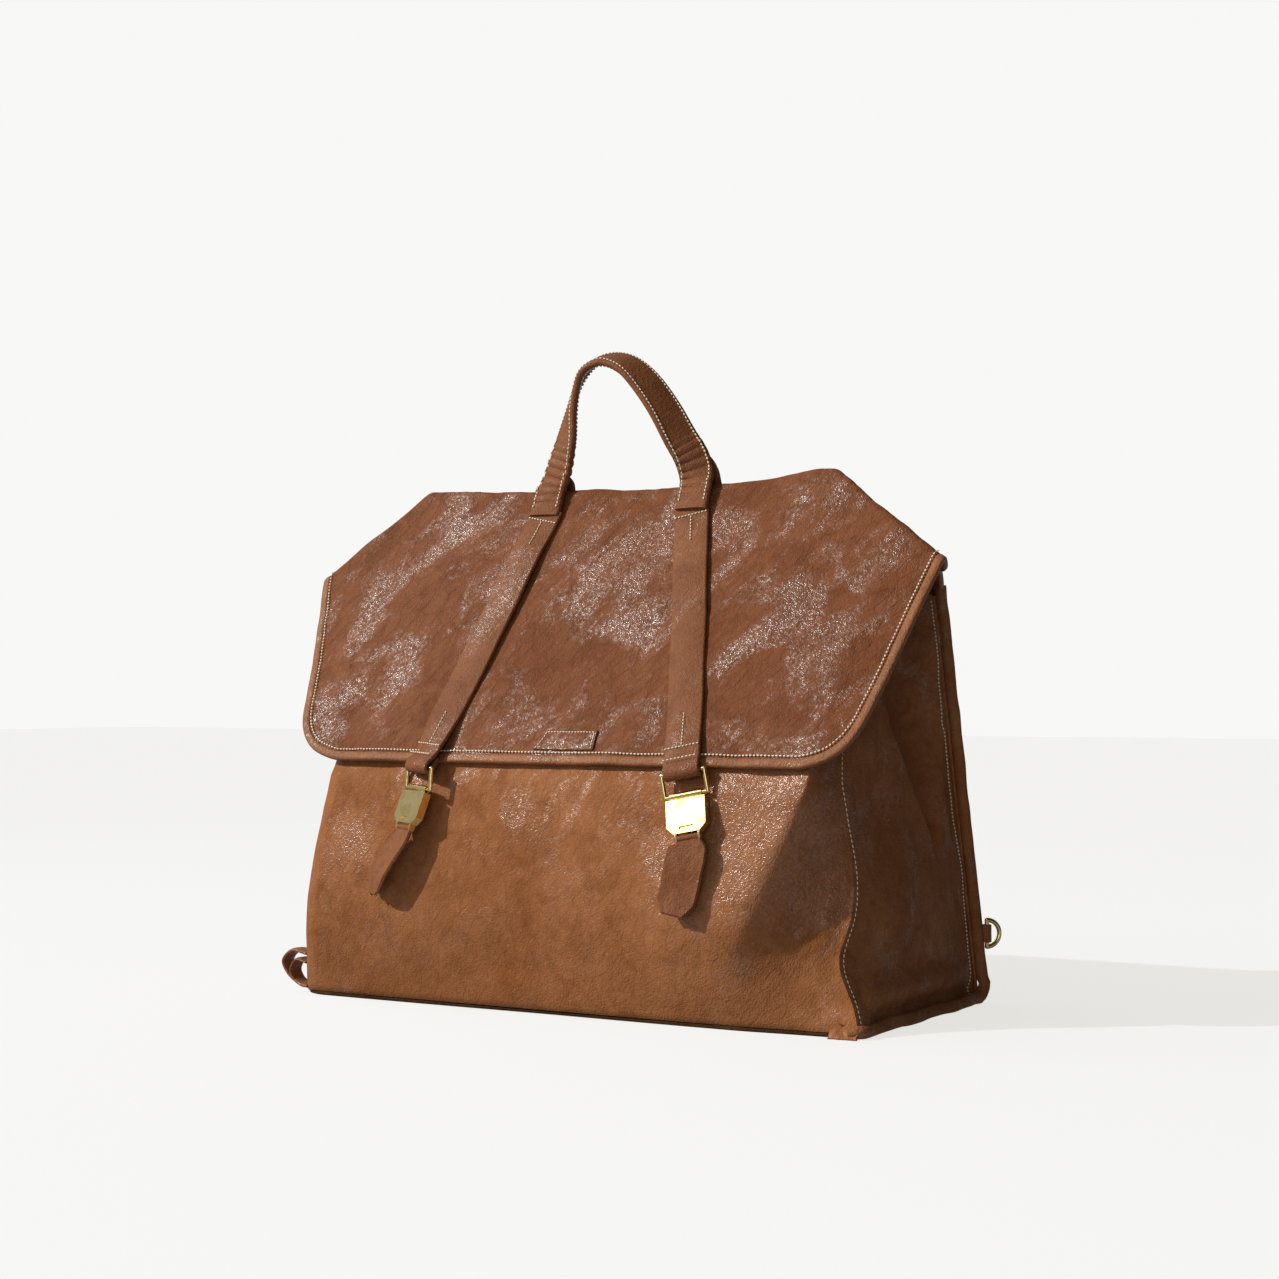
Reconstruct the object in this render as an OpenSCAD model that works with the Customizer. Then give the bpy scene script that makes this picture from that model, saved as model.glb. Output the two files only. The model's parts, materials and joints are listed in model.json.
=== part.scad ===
// Leather satchel bag with a hooded flap, two strap closures and one top handle.
// Millimetres. X runs across the front, Y towards the back, Z up.
// The origin is on the floor, at the middle of the base.

/* [Body] */
// Half width of the base at the front
base_half_w = 223; // [200:1:240]
// Half width of the base at the back
back_half_w = 221; // [200:1:240]
// Half depth of the base
half_d = 103; // [85:1:120]
// Height of the body's mouth
mouth_z = 286; // [270:1:292]
// Thickness of the body leather
leather_t = 3; // [2:0.5:4]
// Radius of the front upright corners
corner_r = 20; // [12:1:30]
// How deep the side folds inwards at the mouth
fold_depth = 52; // [20:1:60]
// Height at which the side's fold begins
fold_start_z = 95; // [60:1:140]

/* [Flap] */
// Height of the flap's ridge
ridge_z = 367; // [360:1:375]
// Depth position of the ridge
ridge_y = -13; // [-20:1:-5]
// Half length of the ridge
ridge_half = 168; // [150:1:180]
// Half width at the flap's shoulder corners
shoulder_half = 250; // [235:1:260]
// Height of the shoulder corners
shoulder_z = 310; // [300:1:320]
// Height of the flap's hem
hem_z = 173; // [165:1:185]
// Depth position of the hem
hem_y = -113; // [-118:1:-110]
// Half width at the hem
hem_half = 216; // [205:1:225]
// Radius of the hem's corners
hem_r = 30; // [15:1:40]
// Height of the seam that the flap swings on
hinge_z = 292; // [291:1:295]
// Depth position of that seam
hinge_y = 66; // [60:1:70]
// Half length of that seam
hinge_half = 205; // [190:1:212]

/* [Handle] */
// Half distance between the handle's legs
handle_half = 62; // [50:1:75]
// Height of the handle above its pivot line
handle_rise = 90; // [70:1:110]
// Width of the handle band
band_w = 26; // [20:1:32]
// Thickness of the handle band
band_t = 5; // [4:0.5:7]

/* [Closures] */
// Width of the straps
strap_w = 26; // [20:1:30]
// Half distance between the straps at the hem
strap_low_x = 103.5; // [90:0.5:115]
// Wire radius of the rectangular rings
ring_r = 1.5; // [1.2:0.1:1.8]
// Height of the rectangular rings between bar centres
ring_drop = 15; // [12:1:18]
// Width of the brass cases
case_w = 28; // [24:1:32]
// Height of the brass cases
case_h = 27; // [22:1:32]
// Thickness of the brass cases
case_t = 6; // [5:0.5:8]
// Length of the leather pull tabs
tab_len = 50; // [35:1:60]
// How far the left closure is twisted about its strap
left_twist = 18; // [0:1:22]

/* [Rings at the back] */
// Height of the D-rings' centres
dring_z = 49; // [40:1:70]
// Outer half height of the D-rings
dring_half = 11; // [9:1:14]
// Wire radius of the D-rings
dring_r = 1.6; // [1.2:0.1:2]

/* [Hidden] */

$fn = 48;
gap = 0.3;                       // clearance between separate pieces
panel_z0 = leather_t + gap;      // where the wall panels begin
rows = 12;                       // steps up the wall panels
front_taper = 0.152;             // how fast the front narrows upwards
back_taper = 0.056;              // how fast the back narrows upwards
back_lean = (half_d - 65) / 288; // how fast the back leans forward
belly = 5;                       // how far the front wall swells
belly_z = 160;                   // height over which it swells
front_slope = 0.46;              // slope of the front above the belly
sway = 3;                        // how far the front bows between its corners
binding_r = 2.6;                 // radius of the flap's rolled edge
welt_r = 3.4;                    // radius of the piped seams
flap_t = 3;                      // thickness of the flap leather
strap_t = 3;                     // thickness of the straps

roof_angle = atan2(ridge_z - hem_z, ridge_y - hem_y);
roof_len = norm([ridge_z - hem_z, ridge_y - hem_y]);
rear_angle = atan2(ridge_z - hinge_z, hinge_y - ridge_y);
shoulder_s = (ridge_z - shoulder_z) / sin(roof_angle);
strap_top_s = 22.5;              // distance of the straps' upper ends from the ridge
strap_top_x = 59.8;
loop_s = 226;                    // distance of the straps' loops from the ridge
strap_tilt = atan2(strap_low_x - strap_top_x, roof_len - strap_top_s);
loop_len = (loop_s - strap_top_s) / cos(strap_tilt);
loop_lift = 1.9;                 // height of the ring's bar above the flap
loop_r = 3.6;                    // outer radius of the straps' loops
overhang = 90 - roof_angle;      // lean of the flap's front from upright
case_lean = 18;                  // lean of the brass cases at rest
tab_lean_left = 11;              // lean of the left pull tab at rest
tab_lean_right = 4;              // lean of the right pull tab at rest
tab_turn_left = 28;              // turn of each tab's leather to the bag's left, in its own plane
tab_turn_right = -22;
handle_z = ridge_z + 5.5;        // the handle's pivot line
tan_leather = "#8a4b2b";
dark_leather = "#6f3a20";
edge_leather = "#b06a3c";
brass = "#c9a24a";
steel = "#a8a8a8";
cloth = "#6d5640";

// ---- shapes shared by several pieces ----

function flat(rows_of_points) = [for (r = rows_of_points) for (p = r) p];
function mix(a, b, t) = a + (b - a) * t;
function unit(v) = v / norm(v);

// Triangles of a grid of m rows and n columns whose points start at index k
function grid(m, n, k, flip) = [
    for (i = [0 : m - 2]) for (j = [0 : n - 2])
        let (a = k + i * n + j, b = a + 1, c = a + n, d = c + 1)
        each (flip ? [[a, b, c], [b, d, c]] : [[a, c, b], [b, c, d]])];

// A strip of triangles between two runs of point numbers
function strip(p, q) = [
    for (i = [0 : len(p) - 2]) each [[p[i], q[i], p[i + 1]], [p[i + 1], q[i], q[i + 1]]]];

// A curved sheet with thickness, from a grid of outer points and one of inner points
module slab(outer, inner, flip = false) {
    m = len(outer);
    n = len(outer[0]);
    k = m * n;
    bottom = [for (j = [0 : n - 1]) j];
    top = [for (j = [n - 1 : -1 : 0]) (m - 1) * n + j];
    left = [for (i = [m - 1 : -1 : 0]) i * n];
    right = [for (i = [0 : m - 1]) i * n + n - 1];
    shift = function(run) [for (i = run) i + k];
    rims = [for (run = [bottom, right, top, left])
        each (flip ? strip(run, shift(run)) : strip(shift(run), run))];
    polyhedron(
        points = concat(flat(outer), flat(inner)),
        faces = concat(grid(m, n, 0, flip), grid(m, n, k, !flip), rims));
}

// A closed band round the body, from rings of outer and inner points
module band(outer, inner) {
    m = len(outer);
    n = len(outer[0]);
    k = m * n;
    wrap = function(i, j, base) base + i * n + j % n;
    side = function(base, flip) [
        for (i = [0 : m - 2]) for (j = [0 : n - 1])
            let (a = wrap(i, j, base), b = wrap(i, j + 1, base))
            let (c = wrap(i + 1, j, base), d = wrap(i + 1, j + 1, base))
            each (flip ? [[a, b, c], [b, d, c]] : [[a, c, b], [b, c, d]])];
    low = [for (j = [0 : n]) wrap(0, j, 0)];
    high = [for (j = [n : -1 : 0]) wrap(m - 1, j, 0)];
    shift = function(run) [for (i = run) i + k];
    polyhedron(
        points = concat(flat(outer), flat(inner)),
        faces = concat(side(0, false), side(k, true),
            strip(shift(low), low), strip(shift(high), high)));
}

// A round tube swept along a path; up is any direction that the path never takes
module tube(path, r, up, sides = 8) {
    n = len(path);
    dir = [for (i = [0 : n - 1]) unit(path[min(i + 1, n - 1)] - path[max(i - 1, 0)])];
    ring = function(i)
        let (u = unit(cross(dir[i], up)), v = cross(u, dir[i]))
        [for (j = [0 : sides - 1]) path[i] + r * (u * cos(360 * j / sides) + v * sin(360 * j / sides))];
    body = [for (i = [0 : n - 2]) for (j = [0 : sides - 1])
        let (a = i * sides + j, b = i * sides + (j + 1) % sides)
        each [[a, b, a + sides], [b, b + sides, a + sides]]];
    first = [for (j = [sides - 1 : -1 : 0]) j];
    last = [for (j = [0 : sides - 1]) (n - 1) * sides + j];
    polyhedron(points = [for (i = [0 : n - 1]) each ring(i)], faces = concat(body, [first, last]));
}

// A corner of an outline, moved inwards by d and rounded to radius r
function corner(a, b, c, d, r, steps) =
    let (u = unit(b - a), w = unit(c - b))
    let (nu = [-u.y, u.x], nw = [-w.y, w.x], turn = acos(u * w))
    let (p = b + d * (nu + nw) / (1 + nu * nw), cut = r * tan(turn / 2))
    let (centre = p - u * cut + nu * r, start = atan2(-nu.y, -nu.x))
    [for (i = [0 : steps]) centre + r * [cos(start + turn * i / steps), sin(start + turn * i / steps)]];

// An outline given counterclockwise, inset by d, with each corner rounded
function outline(pts, radii, d, steps) = [
    for (i = [0 : len(pts) - 1])
        each corner(pts[(i + len(pts) - 1) % len(pts)], pts[i], pts[(i + 1) % len(pts)],
            d, max(radii[i] - d, 0.5), steps[i])];

module both(side) {
    if (side > 0) children();
    else mirror([1, 0, 0]) children();
}

// ---- body ----

function front_half(z) = base_half_w - front_taper * z;
function back_half(z) = back_half_w - back_taper * z;
function front_y(z) = z < belly_z
    ? -(half_d - 1 + belly * sin(180 * z / belly_z))
    : -(half_d - 1 - (z - belly_z) * front_slope);
function back_y(z) = half_d - back_lean * z;
function fold(z) = z < fold_start_z
    ? -5 * sin(180 * z / fold_start_z)
    : fold_depth * pow((z - fold_start_z) / (mouth_z - fold_start_z), 1.2);

// The front wall from seam to seam at height z, moved inwards by e; u runs from -1 to 1
arc_share = 0.12;
function front_point(u, z, e) =
    let (x0 = front_half(z) - corner_r, y0 = front_y(z))
    let (flat_share = 1 - arc_share, s = sign(u), a = abs(u))
    a <= flat_share
        ? [u / flat_share * x0, y0 + e - sway * (1 - pow(a / flat_share, 2)), z]
        : let (t = 90 * (a - flat_share) / arc_share)
          [s * (x0 + (corner_r - e) * sin(t)), y0 + corner_r - (corner_r - e) * cos(t), z];

// The side wall from the front seam to the back corner; t runs from 0 to 1
function side_point(t, z, e, side) =
    let (ya = front_y(z) + corner_r + gap, yb = back_y(z) - leather_t - gap)
    [side * (mix(front_half(z), back_half(z), t) - e - fold(z) * pow(sin(180 * t), 1.4)), mix(ya, yb, t), z];

function back_point(u, z, e) = [u * (back_half(z) - e), back_y(z) - e, z];

front_cols = concat(
    [for (i = [0 : 3]) -1 + arc_share * i / 4],
    [for (i = [-5 : 5]) (1 - arc_share) * i / 5],
    [for (i = [1 : 4]) 1 - arc_share + arc_share * i / 4]);
side_cols = [for (i = [0 : 10]) i / 10];
wall_z = [for (i = [0 : rows]) mix(panel_z0, mouth_z, i / rows)];

// One ring round the body's inside at height z and inset e, seen from above, counterclockwise
function body_ring(z, e) = concat(
    [for (u = front_cols) front_point(u, z, e)],
    [for (t = [0.1 : 0.1 : 0.91]) side_point(t, z, e, 1)],
    [for (i = [4 : -1 : -4]) back_point(i / 4, z, e)],
    [for (t = [0.9 : -0.1 : 0.09]) side_point(t, z, e, -1)]);

module base_panel() {
    base = [[-base_half_w, -half_d + 1], [base_half_w, -half_d + 1], [back_half_w, half_d], [-back_half_w, half_d]];
    color(dark_leather)
        linear_extrude(leather_t) polygon(outline(base, [corner_r, corner_r, 2, 2], 0, [8, 8, 1, 1]));
}

module base_board() {
    inset = 8;
    color(cloth) translate([0, 0, leather_t + gap])
        linear_extrude(2.4) square([2 * (back_half_w - inset), 2 * (half_d - inset)], center = true);
}

module front_panel() {
    color(tan_leather) slab(
        [for (z = wall_z) [for (u = front_cols) front_point(u, z, 0)]],
        [for (z = wall_z) [for (u = front_cols) front_point(u, z, leather_t)]]);
}

module back_panel() {
    cols = [-1, -0.5, 0, 0.5, 1];
    color(tan_leather) slab(
        [for (z = [panel_z0, mouth_z]) [for (u = cols) back_point(u, z, 0)]],
        [for (z = [panel_z0, mouth_z]) [for (u = cols) back_point(u, z, 0) - [0, leather_t, 0]]], true);
}

module gusset(side) {
    color(dark_leather) slab(
        [for (z = wall_z) [for (t = side_cols) side_point(t, z, 0, side)]],
        [for (z = wall_z) [for (t = side_cols) side_point(t, z, leather_t, side)]], side < 0);
}

module welt(side) {
    off = 2.6;
    low = welt_r + 0.8;
    rise = [for (i = [0 : 8]) let (z = mix(mouth_z, low + 8, i / 8)) [back_half(z) + off, back_y(z) + off, z]];
    bend = [for (a = [30, 60]) [back_half_w + off + 1.2 * sin(a), half_d + off - 8 * (1 - cos(a)), low + 8 * (1 - sin(a))]];
    front_end = front_y(0) + corner_r;
    run = [for (i = [0 : 4]) [mix(back_half_w, base_half_w, i / 4) + off + 1.2, mix(half_d - 6, front_end, i / 4), low]];
    color(edge_leather) both(side) tube(concat(rise, bend, run), welt_r, [1, 0, 0]);
}

module mouth_binding() {
    color(edge_leather) band(
        [for (z = [mouth_z + gap, mouth_z + 2]) body_ring(z, -0.4)],
        [for (z = [mouth_z + gap, mouth_z + 2]) body_ring(z, 6)]);
}

module mouth_stay() {
    cols = [for (i = [-4 : 4]) 0.7 * i / 4];
    heights = [mouth_z - 24, mouth_z - 6];
    color(steel) slab(
        [for (z = heights) [for (u = cols) front_point(u, z, leather_t + gap)]],
        [for (z = heights) [for (u = cols) front_point(u, z, leather_t + gap + 0.9)]]);
}

module lining() {
    heights = [for (i = [0 : rows]) max(leather_t + 4, min(wall_z[i], mouth_z - 1))];
    color(cloth) band(
        [for (z = heights) body_ring(z, 5.2)],
        [for (z = heights) body_ring(z, 6)]);
}

module inner_pocket() {
    cols = [-0.45, 0.45];
    heights = [90, 230];
    color(cloth) slab(
        [for (z = heights) [for (u = cols) back_point(u, z, 6.4)]],
        [for (z = heights) [for (u = cols) back_point(u, z, 7.8)]], true);
}

module strike(side) {
    strike_x = 110;
    strike_z = 139;
    face_y = front_y(strike_z) - sway;
    color(brass) translate([side * strike_x, face_y + 0.2, strike_z])
        rotate([90, 0, 0]) cylinder(r = 10, h = 2);
}

module corner_tab(side) {
    ear_h = 18;
    color(edge_leather) both(side) translate([base_half_w + 1, front_y(0) + corner_r - 12, 4])
        rotate([90, 0, 0]) linear_extrude(leather_t) difference() {
            union() {
                square([8, ear_h]);
                translate([8, ear_h / 2]) circle(r = ear_h / 2);
            }
            translate([9, ear_h / 2]) circle(r = 4.2);
        }
}

// Puts a piece at the back corner, with X pointing diagonally out
module at_dring(side) {
    both(side) translate([back_half(dring_z), back_y(dring_z), dring_z]) rotate([0, 0, 45]) children();
}
dring_out = 10.3;                // distance of the D-ring's bar from the corner
tab_h = 13;

module dring_tab(side) {
    color(edge_leather) at_dring(side) difference() {
        union() {
            translate([dring_out, 0, -tab_h / 2]) cylinder(r = 3.1, h = tab_h);
            translate([0.6, -1.5, -tab_h / 2]) cube([dring_out - 0.6, 3, tab_h]);
        }
        translate([dring_out, 0, -tab_h]) cylinder(r = dring_r + 0.08, h = 2 * tab_h);
    }
}

module dring(side) {
    bow = dring_half - dring_r;
    color(brass) at_dring(side) translate([dring_out, 0, 0]) {
        translate([0, 0, -bow]) cylinder(r = dring_r, h = 2 * bow);
        rotate([90, 0, 0]) rotate([0, 0, -90]) rotate_extrude(angle = 180) translate([bow, 0]) circle(r = dring_r);
        for (s = [-1, 1]) translate([0, 0, s * bow]) sphere(r = dring_r);
    }
}

// ---- flap ----

// The flap's front lies in this frame: Y runs up the slope to the ridge, Z points out
module on_roof() {
    translate([0, ridge_y, ridge_z]) rotate([roof_angle, 0, 0]) children();
}
function roof_point(p, lift) =
    [p.x, ridge_y + p.y * cos(roof_angle) - lift * sin(roof_angle),
     ridge_z + p.y * sin(roof_angle) + lift * cos(roof_angle)];

flap_pts = [
    [-hem_half, -roof_len], [hem_half, -roof_len], [shoulder_half, -shoulder_s],
    [ridge_half, 0], [-ridge_half, 0], [-shoulder_half, -shoulder_s]];
flap_radii = [hem_r, hem_r, 14, 8, 8, 14];
flap_steps = [8, 8, 5, 3, 3, 5];
function flap_outline(d) = outline(flap_pts, flap_radii, d, flap_steps);

module flap_front() {
    color(tan_leather) on_roof() translate([0, 0, -flap_t])
        linear_extrude(flap_t) polygon(flap_outline(2 * binding_r + gap));
}

module flap_lining() {
    color(cloth) on_roof() translate([0, 0, -flap_t - gap - 0.8])
        linear_extrude(0.8) polygon(flap_outline(14));
}

module flap_binding() {
    edge = outline(flap_pts, flap_radii, binding_r, flap_steps);
    n = len(edge);
    right_start = flap_steps[0] + 1;
    hem_left = [for (i = [0 : flap_steps[0]]) edge[i]];
    right = [for (i = [right_start : right_start + flap_steps[1] + flap_steps[2] + 1]) edge[i]];
    left = [for (i = [n - flap_steps[5] - 1 : n - 1]) edge[i]];
    color(edge_leather)
        tube([for (p = concat(left, hem_left, right)) roof_point(p, -flap_t / 2)], binding_r,
            roof_point([0, 0], 1) - roof_point([0, 0], 0));
}

// The rear roof and the two wings that run out to the shoulder corners
module flap_rear() {
    drop = flap_t + 1.3;
    thick = [0, -0.70, -0.71] * flap_t;
    ridge_line = roof_point([ridge_half, -1], -drop);
    tip = roof_point([shoulder_half - 8, -shoulder_s - 1], -drop);
    front = concat([for (i = [0 : 3]) mix(tip, ridge_line, i / 4)], [for (i = [4 : -1 : -4])
        [ridge_line.x * i / 4, ridge_line.y, ridge_line.z]],
        [for (i = [1 : 4]) let (p = mix(ridge_line, tip, i / 4)) [-p.x, p.y, p.z]]);
    seam = concat([for (i = [0 : 3]) [mix(hinge_half, ridge_half, i / 4), hinge_y, hinge_z]],
        [for (i = [4 : -1 : -4]) [ridge_half * i / 4, hinge_y, hinge_z]],
        [for (i = [1 : 4]) [-mix(ridge_half, hinge_half, i / 4), hinge_y, hinge_z]]);
    sheet = [for (t = [0 : 0.25 : 1]) [for (j = [0 : len(seam) - 1]) mix(seam[j], front[j], t)]];
    color(tan_leather) slab(sheet, [for (r = sheet) [for (p = r) p + thick]]);
}

module ridge_stay() {
    stay = roof_point([0, -16], -10);
    color(steel) translate([-(ridge_half - 8), stay.y, stay.z]) rotate([0, 90, 0]) cylinder(r = 3, h = 2 * (ridge_half - 8));
}

badge_w = 40;
badge_h = 15;
badge_x = 8;
module badge() {
    color(edge_leather) on_roof() translate([badge_x, -roof_len + 12, 0.1]) linear_extrude(1.2)
        polygon([[-badge_w / 2 - 8, 0], [badge_w / 2, 0], [badge_w / 2, badge_h], [-badge_w / 2, badge_h]]);
}

// Frame of one strap: origin at its loop's centre, Y up the strap, Z out of the flap
module at_loop(side) {
    both(side) on_roof() translate([strap_top_x, -strap_top_s, loop_lift]) rotate([0, 0, strap_tilt])
        translate([0, -loop_len, 0]) rotate([0, side < 0 ? left_twist : 0, 0]) children();
}

module strap(side) {
    end_gap = 8;
    color(dark_leather) difference() {
        union() {
            both(side) on_roof() translate([strap_top_x, -strap_top_s, gap]) rotate([0, 0, strap_tilt])
                translate([-strap_w / 2, -loop_len + end_gap, 0]) cube([strap_w, loop_len - end_gap - 2, strap_t]);
            at_loop(side) {
                translate([-strap_w / 2, 0, -strap_t / 2]) cube([strap_w, end_gap + 2, strap_t]);
                translate([-strap_w / 2, 0, 0]) rotate([0, 90, 0]) cylinder(r = loop_r, h = strap_w);
            }
        }
        at_loop(side) translate([-strap_w, 0, 0]) rotate([0, 90, 0]) cylinder(r = ring_r + 0.09, h = 2 * strap_w);
    }
}

module handle_foot(side) {
    color(tan_leather) both(side) translate([handle_half - band_w / 2, 0, 0]) {
        translate([0, ridge_y, ridge_z]) rotate([roof_angle, 0, 0])
            translate([0, -strap_top_s + 1, gap]) cube([band_w, strap_top_s - 1, strap_t]);
        translate([0, ridge_y - 2.5, ridge_z + gap]) cube([band_w, 5, 2.1]);
        translate([0, ridge_y, ridge_z]) rotate([-rear_angle, 0, 0])
            translate([0, 0, gap]) cube([band_w, strap_top_s - 1, strap_t]);
    }
}

// ---- handle ----

function arch(rx, rz) = [for (i = [0 : 32]) [rx * cos(180 * i / 32), rz * sin(180 * i / 32)]];

module arch_band(inset, width) {
    outer = arch(handle_half + band_t / 2 - inset, handle_rise - inset);
    inner = arch(handle_half - band_t / 2 + inset, handle_rise - band_t + inset);
    last = len(inner) - 1;
    translate([0, ridge_y + width / 2, handle_z]) rotate([90, 0, 0])
        linear_extrude(width) polygon(concat(outer, [for (i = [last : -1 : 0]) inner[i]]));
}

module handle_band() {
    color(tan_leather) difference() {
        arch_band(0, band_w);
        arch_band(1.5, band_w - 6);
    }
}

module handle_core() {
    color(cloth) arch_band(1.6, band_w - 6.2);
}

// ---- closures ----

// Frames along a closure, each with Y up the piece and Z outwards
module at_ring(side) {
    at_loop(side) rotate([overhang, 0, 0]) children();
}
module at_case(side) {
    at_ring(side) translate([0, -ring_drop, 0]) rotate([-case_lean, 0, 0]) children();
}
module at_tab(side) {
    lean = side < 0 ? tab_lean_left : tab_lean_right;
    at_case(side) translate([0, -case_h - 1.6, 0]) rotate([case_lean - lean, 0, 0]) children();
}

module ring(side) {
    half = strap_w / 2 + 2.4;
    color(brass) at_ring(side) {
        for (y = [0, -ring_drop]) translate([-half, y, 0]) rotate([0, 90, 0]) cylinder(r = ring_r, h = 2 * half);
        for (x = [-half, half]) {
            translate([x, 0, 0]) rotate([90, 0, 0]) cylinder(r = ring_r, h = ring_drop);
            for (y = [0, -ring_drop]) translate([x, y, 0]) sphere(r = ring_r);
        }
    }
}

lug_w = 24;                      // width of the case's lug round the ring's lower bar
ear_t = 1.5;                     // thickness of the case's two ears
pin_r = 1;                       // radius of the pull tab's pin
eye_r = 2.2;                     // radius of the pull tab's rolled end
magnet_r = 8;
module clasp_case(side) {
    cut = 5;
    bore_r = ring_r + 0.08;
    color(brass) at_case(side) difference() {
        union() {
            translate([0, 0, -case_t / 2]) linear_extrude(case_t) polygon([
                [-case_w / 2 + cut, -case_h + 1], [case_w / 2 - cut, -case_h + 1], [case_w / 2, -case_h + cut],
                [case_w / 2, -2.6], [-case_w / 2, -2.6], [-case_w / 2, -case_h + cut]]);
            translate([-lug_w / 2, 0, 0]) rotate([0, 90, 0]) cylinder(r = 2.6, h = lug_w);
            translate([-lug_w / 2, -4, -1.6]) cube([lug_w, 4, 3.2]);
            for (x = [-case_w / 2 + cut, case_w / 2 - cut - ear_t])
                translate([x, -case_h - 1.6, 0]) {
                    rotate([0, 90, 0]) cylinder(r = 2.4, h = ear_t);
                    translate([0, 0, -2.4]) cube([ear_t, 3, 4.8]);
                }
        }
        translate([-lug_w, 0, 0]) rotate([0, 90, 0]) cylinder(r = bore_r, h = 2 * lug_w);
        translate([-case_w, -case_h - 1.6, 0]) rotate([0, 90, 0]) cylinder(r = pin_r, h = 2 * case_w);
        translate([0, -case_h / 2 - 1, -case_t / 2 - 1]) cylinder(r = magnet_r + 0.05, h = 3);
    }
}

module clasp_magnet(side) {
    color(steel) at_case(side) translate([0, -case_h / 2 - 1, -case_t / 2]) cylinder(r = magnet_r, h = 1.9);
}

pin_half = case_w / 2 - 5.02;    // half length of the pull tab's pin
module tab_pin(side) {
    color(brass) at_case(side) translate([-pin_half, -case_h - 1.6, 0]) rotate([0, 90, 0]) cylinder(r = pin_r - 0.01, h = 2 * pin_half);
}

neck = 4;                        // length of a pull tab above its turn
function turned(p, a) = [p.x * cos(a) - p.y * sin(a), p.x * sin(a) + p.y * cos(a) - neck];

module pull_tab(side) {
    eye_half = case_w / 2 - 5 - ear_t - 0.4;
    tab_half = 12.5;
    tip_half = 6;
    tab_t = 3;
    low = neck - tab_len;
    turn = side < 0 ? tab_turn_left : tab_turn_right;
    blade = [
        [-tab_half, -3], [-tab_half + 1, low + 8], [-tip_half, low],
        [tip_half, low], [tab_half - 1, low + 8], [tab_half, -3]];
    color(tan_leather) at_tab(side) difference() {
        union() {
            translate([-eye_half, 0, 0]) rotate([0, 90, 0]) cylinder(r = eye_r, h = 2 * eye_half);
            translate([0, 0, -tab_t / 2]) linear_extrude(tab_t) polygon(concat(
                [[-eye_half, 0], [-eye_half, -3.6]], [for (p = blade) turned(p, turn)],
                [[eye_half, -3.6], [eye_half, 0]]));
        }
        translate([-case_w, 0, 0]) rotate([0, 90, 0]) cylinder(r = pin_r + 0.08, h = 2 * case_w);
    }
}

base_panel();
base_board();
front_panel();
back_panel();
gusset(-1);  // gusset_left
gusset(1);  // gusset_right
welt(-1);  // welt_left
welt(1);  // welt_right
mouth_binding();
mouth_stay();
lining();
inner_pocket();
strike(-1);  // strike_left
strike(1);  // strike_right
corner_tab(-1);  // corner_tab_left
corner_tab(1);  // corner_tab_right
dring_tab(-1);  // dring_tab_left
dring_tab(1);  // dring_tab_right
dring(-1);  // dring_left
dring(1);  // dring_right
flap_front();
flap_rear();
flap_lining();
flap_binding();
ridge_stay();
badge();
strap(-1);  // strap_left
strap(1);  // strap_right
handle_foot(-1);  // handle_foot_left
handle_foot(1);  // handle_foot_right
handle_band();
handle_core();
ring(-1);  // ring_left
ring(1);  // ring_right
clasp_case(-1);  // clasp_case_left
clasp_case(1);  // clasp_case_right
clasp_magnet(-1);  // clasp_magnet_left
clasp_magnet(1);  // clasp_magnet_right
tab_pin(-1);  // tab_pin_left
tab_pin(1);  // tab_pin_right
pull_tab(-1);  // pull_tab_left
pull_tab(1);  // pull_tab_right
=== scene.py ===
# Satchel bag in waxed brown leather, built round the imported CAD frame.
# Shapes are worked out in millimetres and written to the meshes in metres.
import json
import math

import bpy
import numpy as np
from mathutils import Matrix, Vector
from mathutils.bvhtree import BVHTree


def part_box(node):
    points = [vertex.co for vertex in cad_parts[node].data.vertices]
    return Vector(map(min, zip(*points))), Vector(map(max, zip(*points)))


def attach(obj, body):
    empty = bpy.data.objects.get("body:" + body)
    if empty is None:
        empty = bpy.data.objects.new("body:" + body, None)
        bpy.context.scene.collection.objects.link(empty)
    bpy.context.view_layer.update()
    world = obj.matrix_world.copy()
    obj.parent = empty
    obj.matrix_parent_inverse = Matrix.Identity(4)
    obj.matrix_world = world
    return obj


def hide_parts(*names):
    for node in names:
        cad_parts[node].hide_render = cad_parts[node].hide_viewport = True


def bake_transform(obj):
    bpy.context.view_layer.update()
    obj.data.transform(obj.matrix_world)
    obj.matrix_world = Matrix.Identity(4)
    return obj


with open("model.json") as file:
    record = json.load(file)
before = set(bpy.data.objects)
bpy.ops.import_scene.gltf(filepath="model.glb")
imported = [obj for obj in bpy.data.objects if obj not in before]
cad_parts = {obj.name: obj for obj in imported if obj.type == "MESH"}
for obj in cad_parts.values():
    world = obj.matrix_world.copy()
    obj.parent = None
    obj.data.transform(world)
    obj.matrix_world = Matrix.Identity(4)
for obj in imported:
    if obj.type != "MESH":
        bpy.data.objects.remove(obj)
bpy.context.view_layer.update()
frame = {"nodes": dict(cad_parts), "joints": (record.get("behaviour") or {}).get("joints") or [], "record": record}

MM = 0.001
JOINTS = {j["name"]: j for j in frame["joints"]}
SIDES = {"left": -1, "right": 1}


# ---- small maths ----

def smooth(a, b, x):
    t = np.clip((np.asarray(x, float) - a) / (b - a), 0, 1)
    return t * t * (3 - 2 * t)


def hill(x, centre, width):
    return np.exp(-(((x - centre) / width) ** 2))


def unit(v):
    v = np.asarray(v, float)
    return v / np.maximum(np.linalg.norm(v, axis=-1, keepdims=True), 1e-9)


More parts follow.
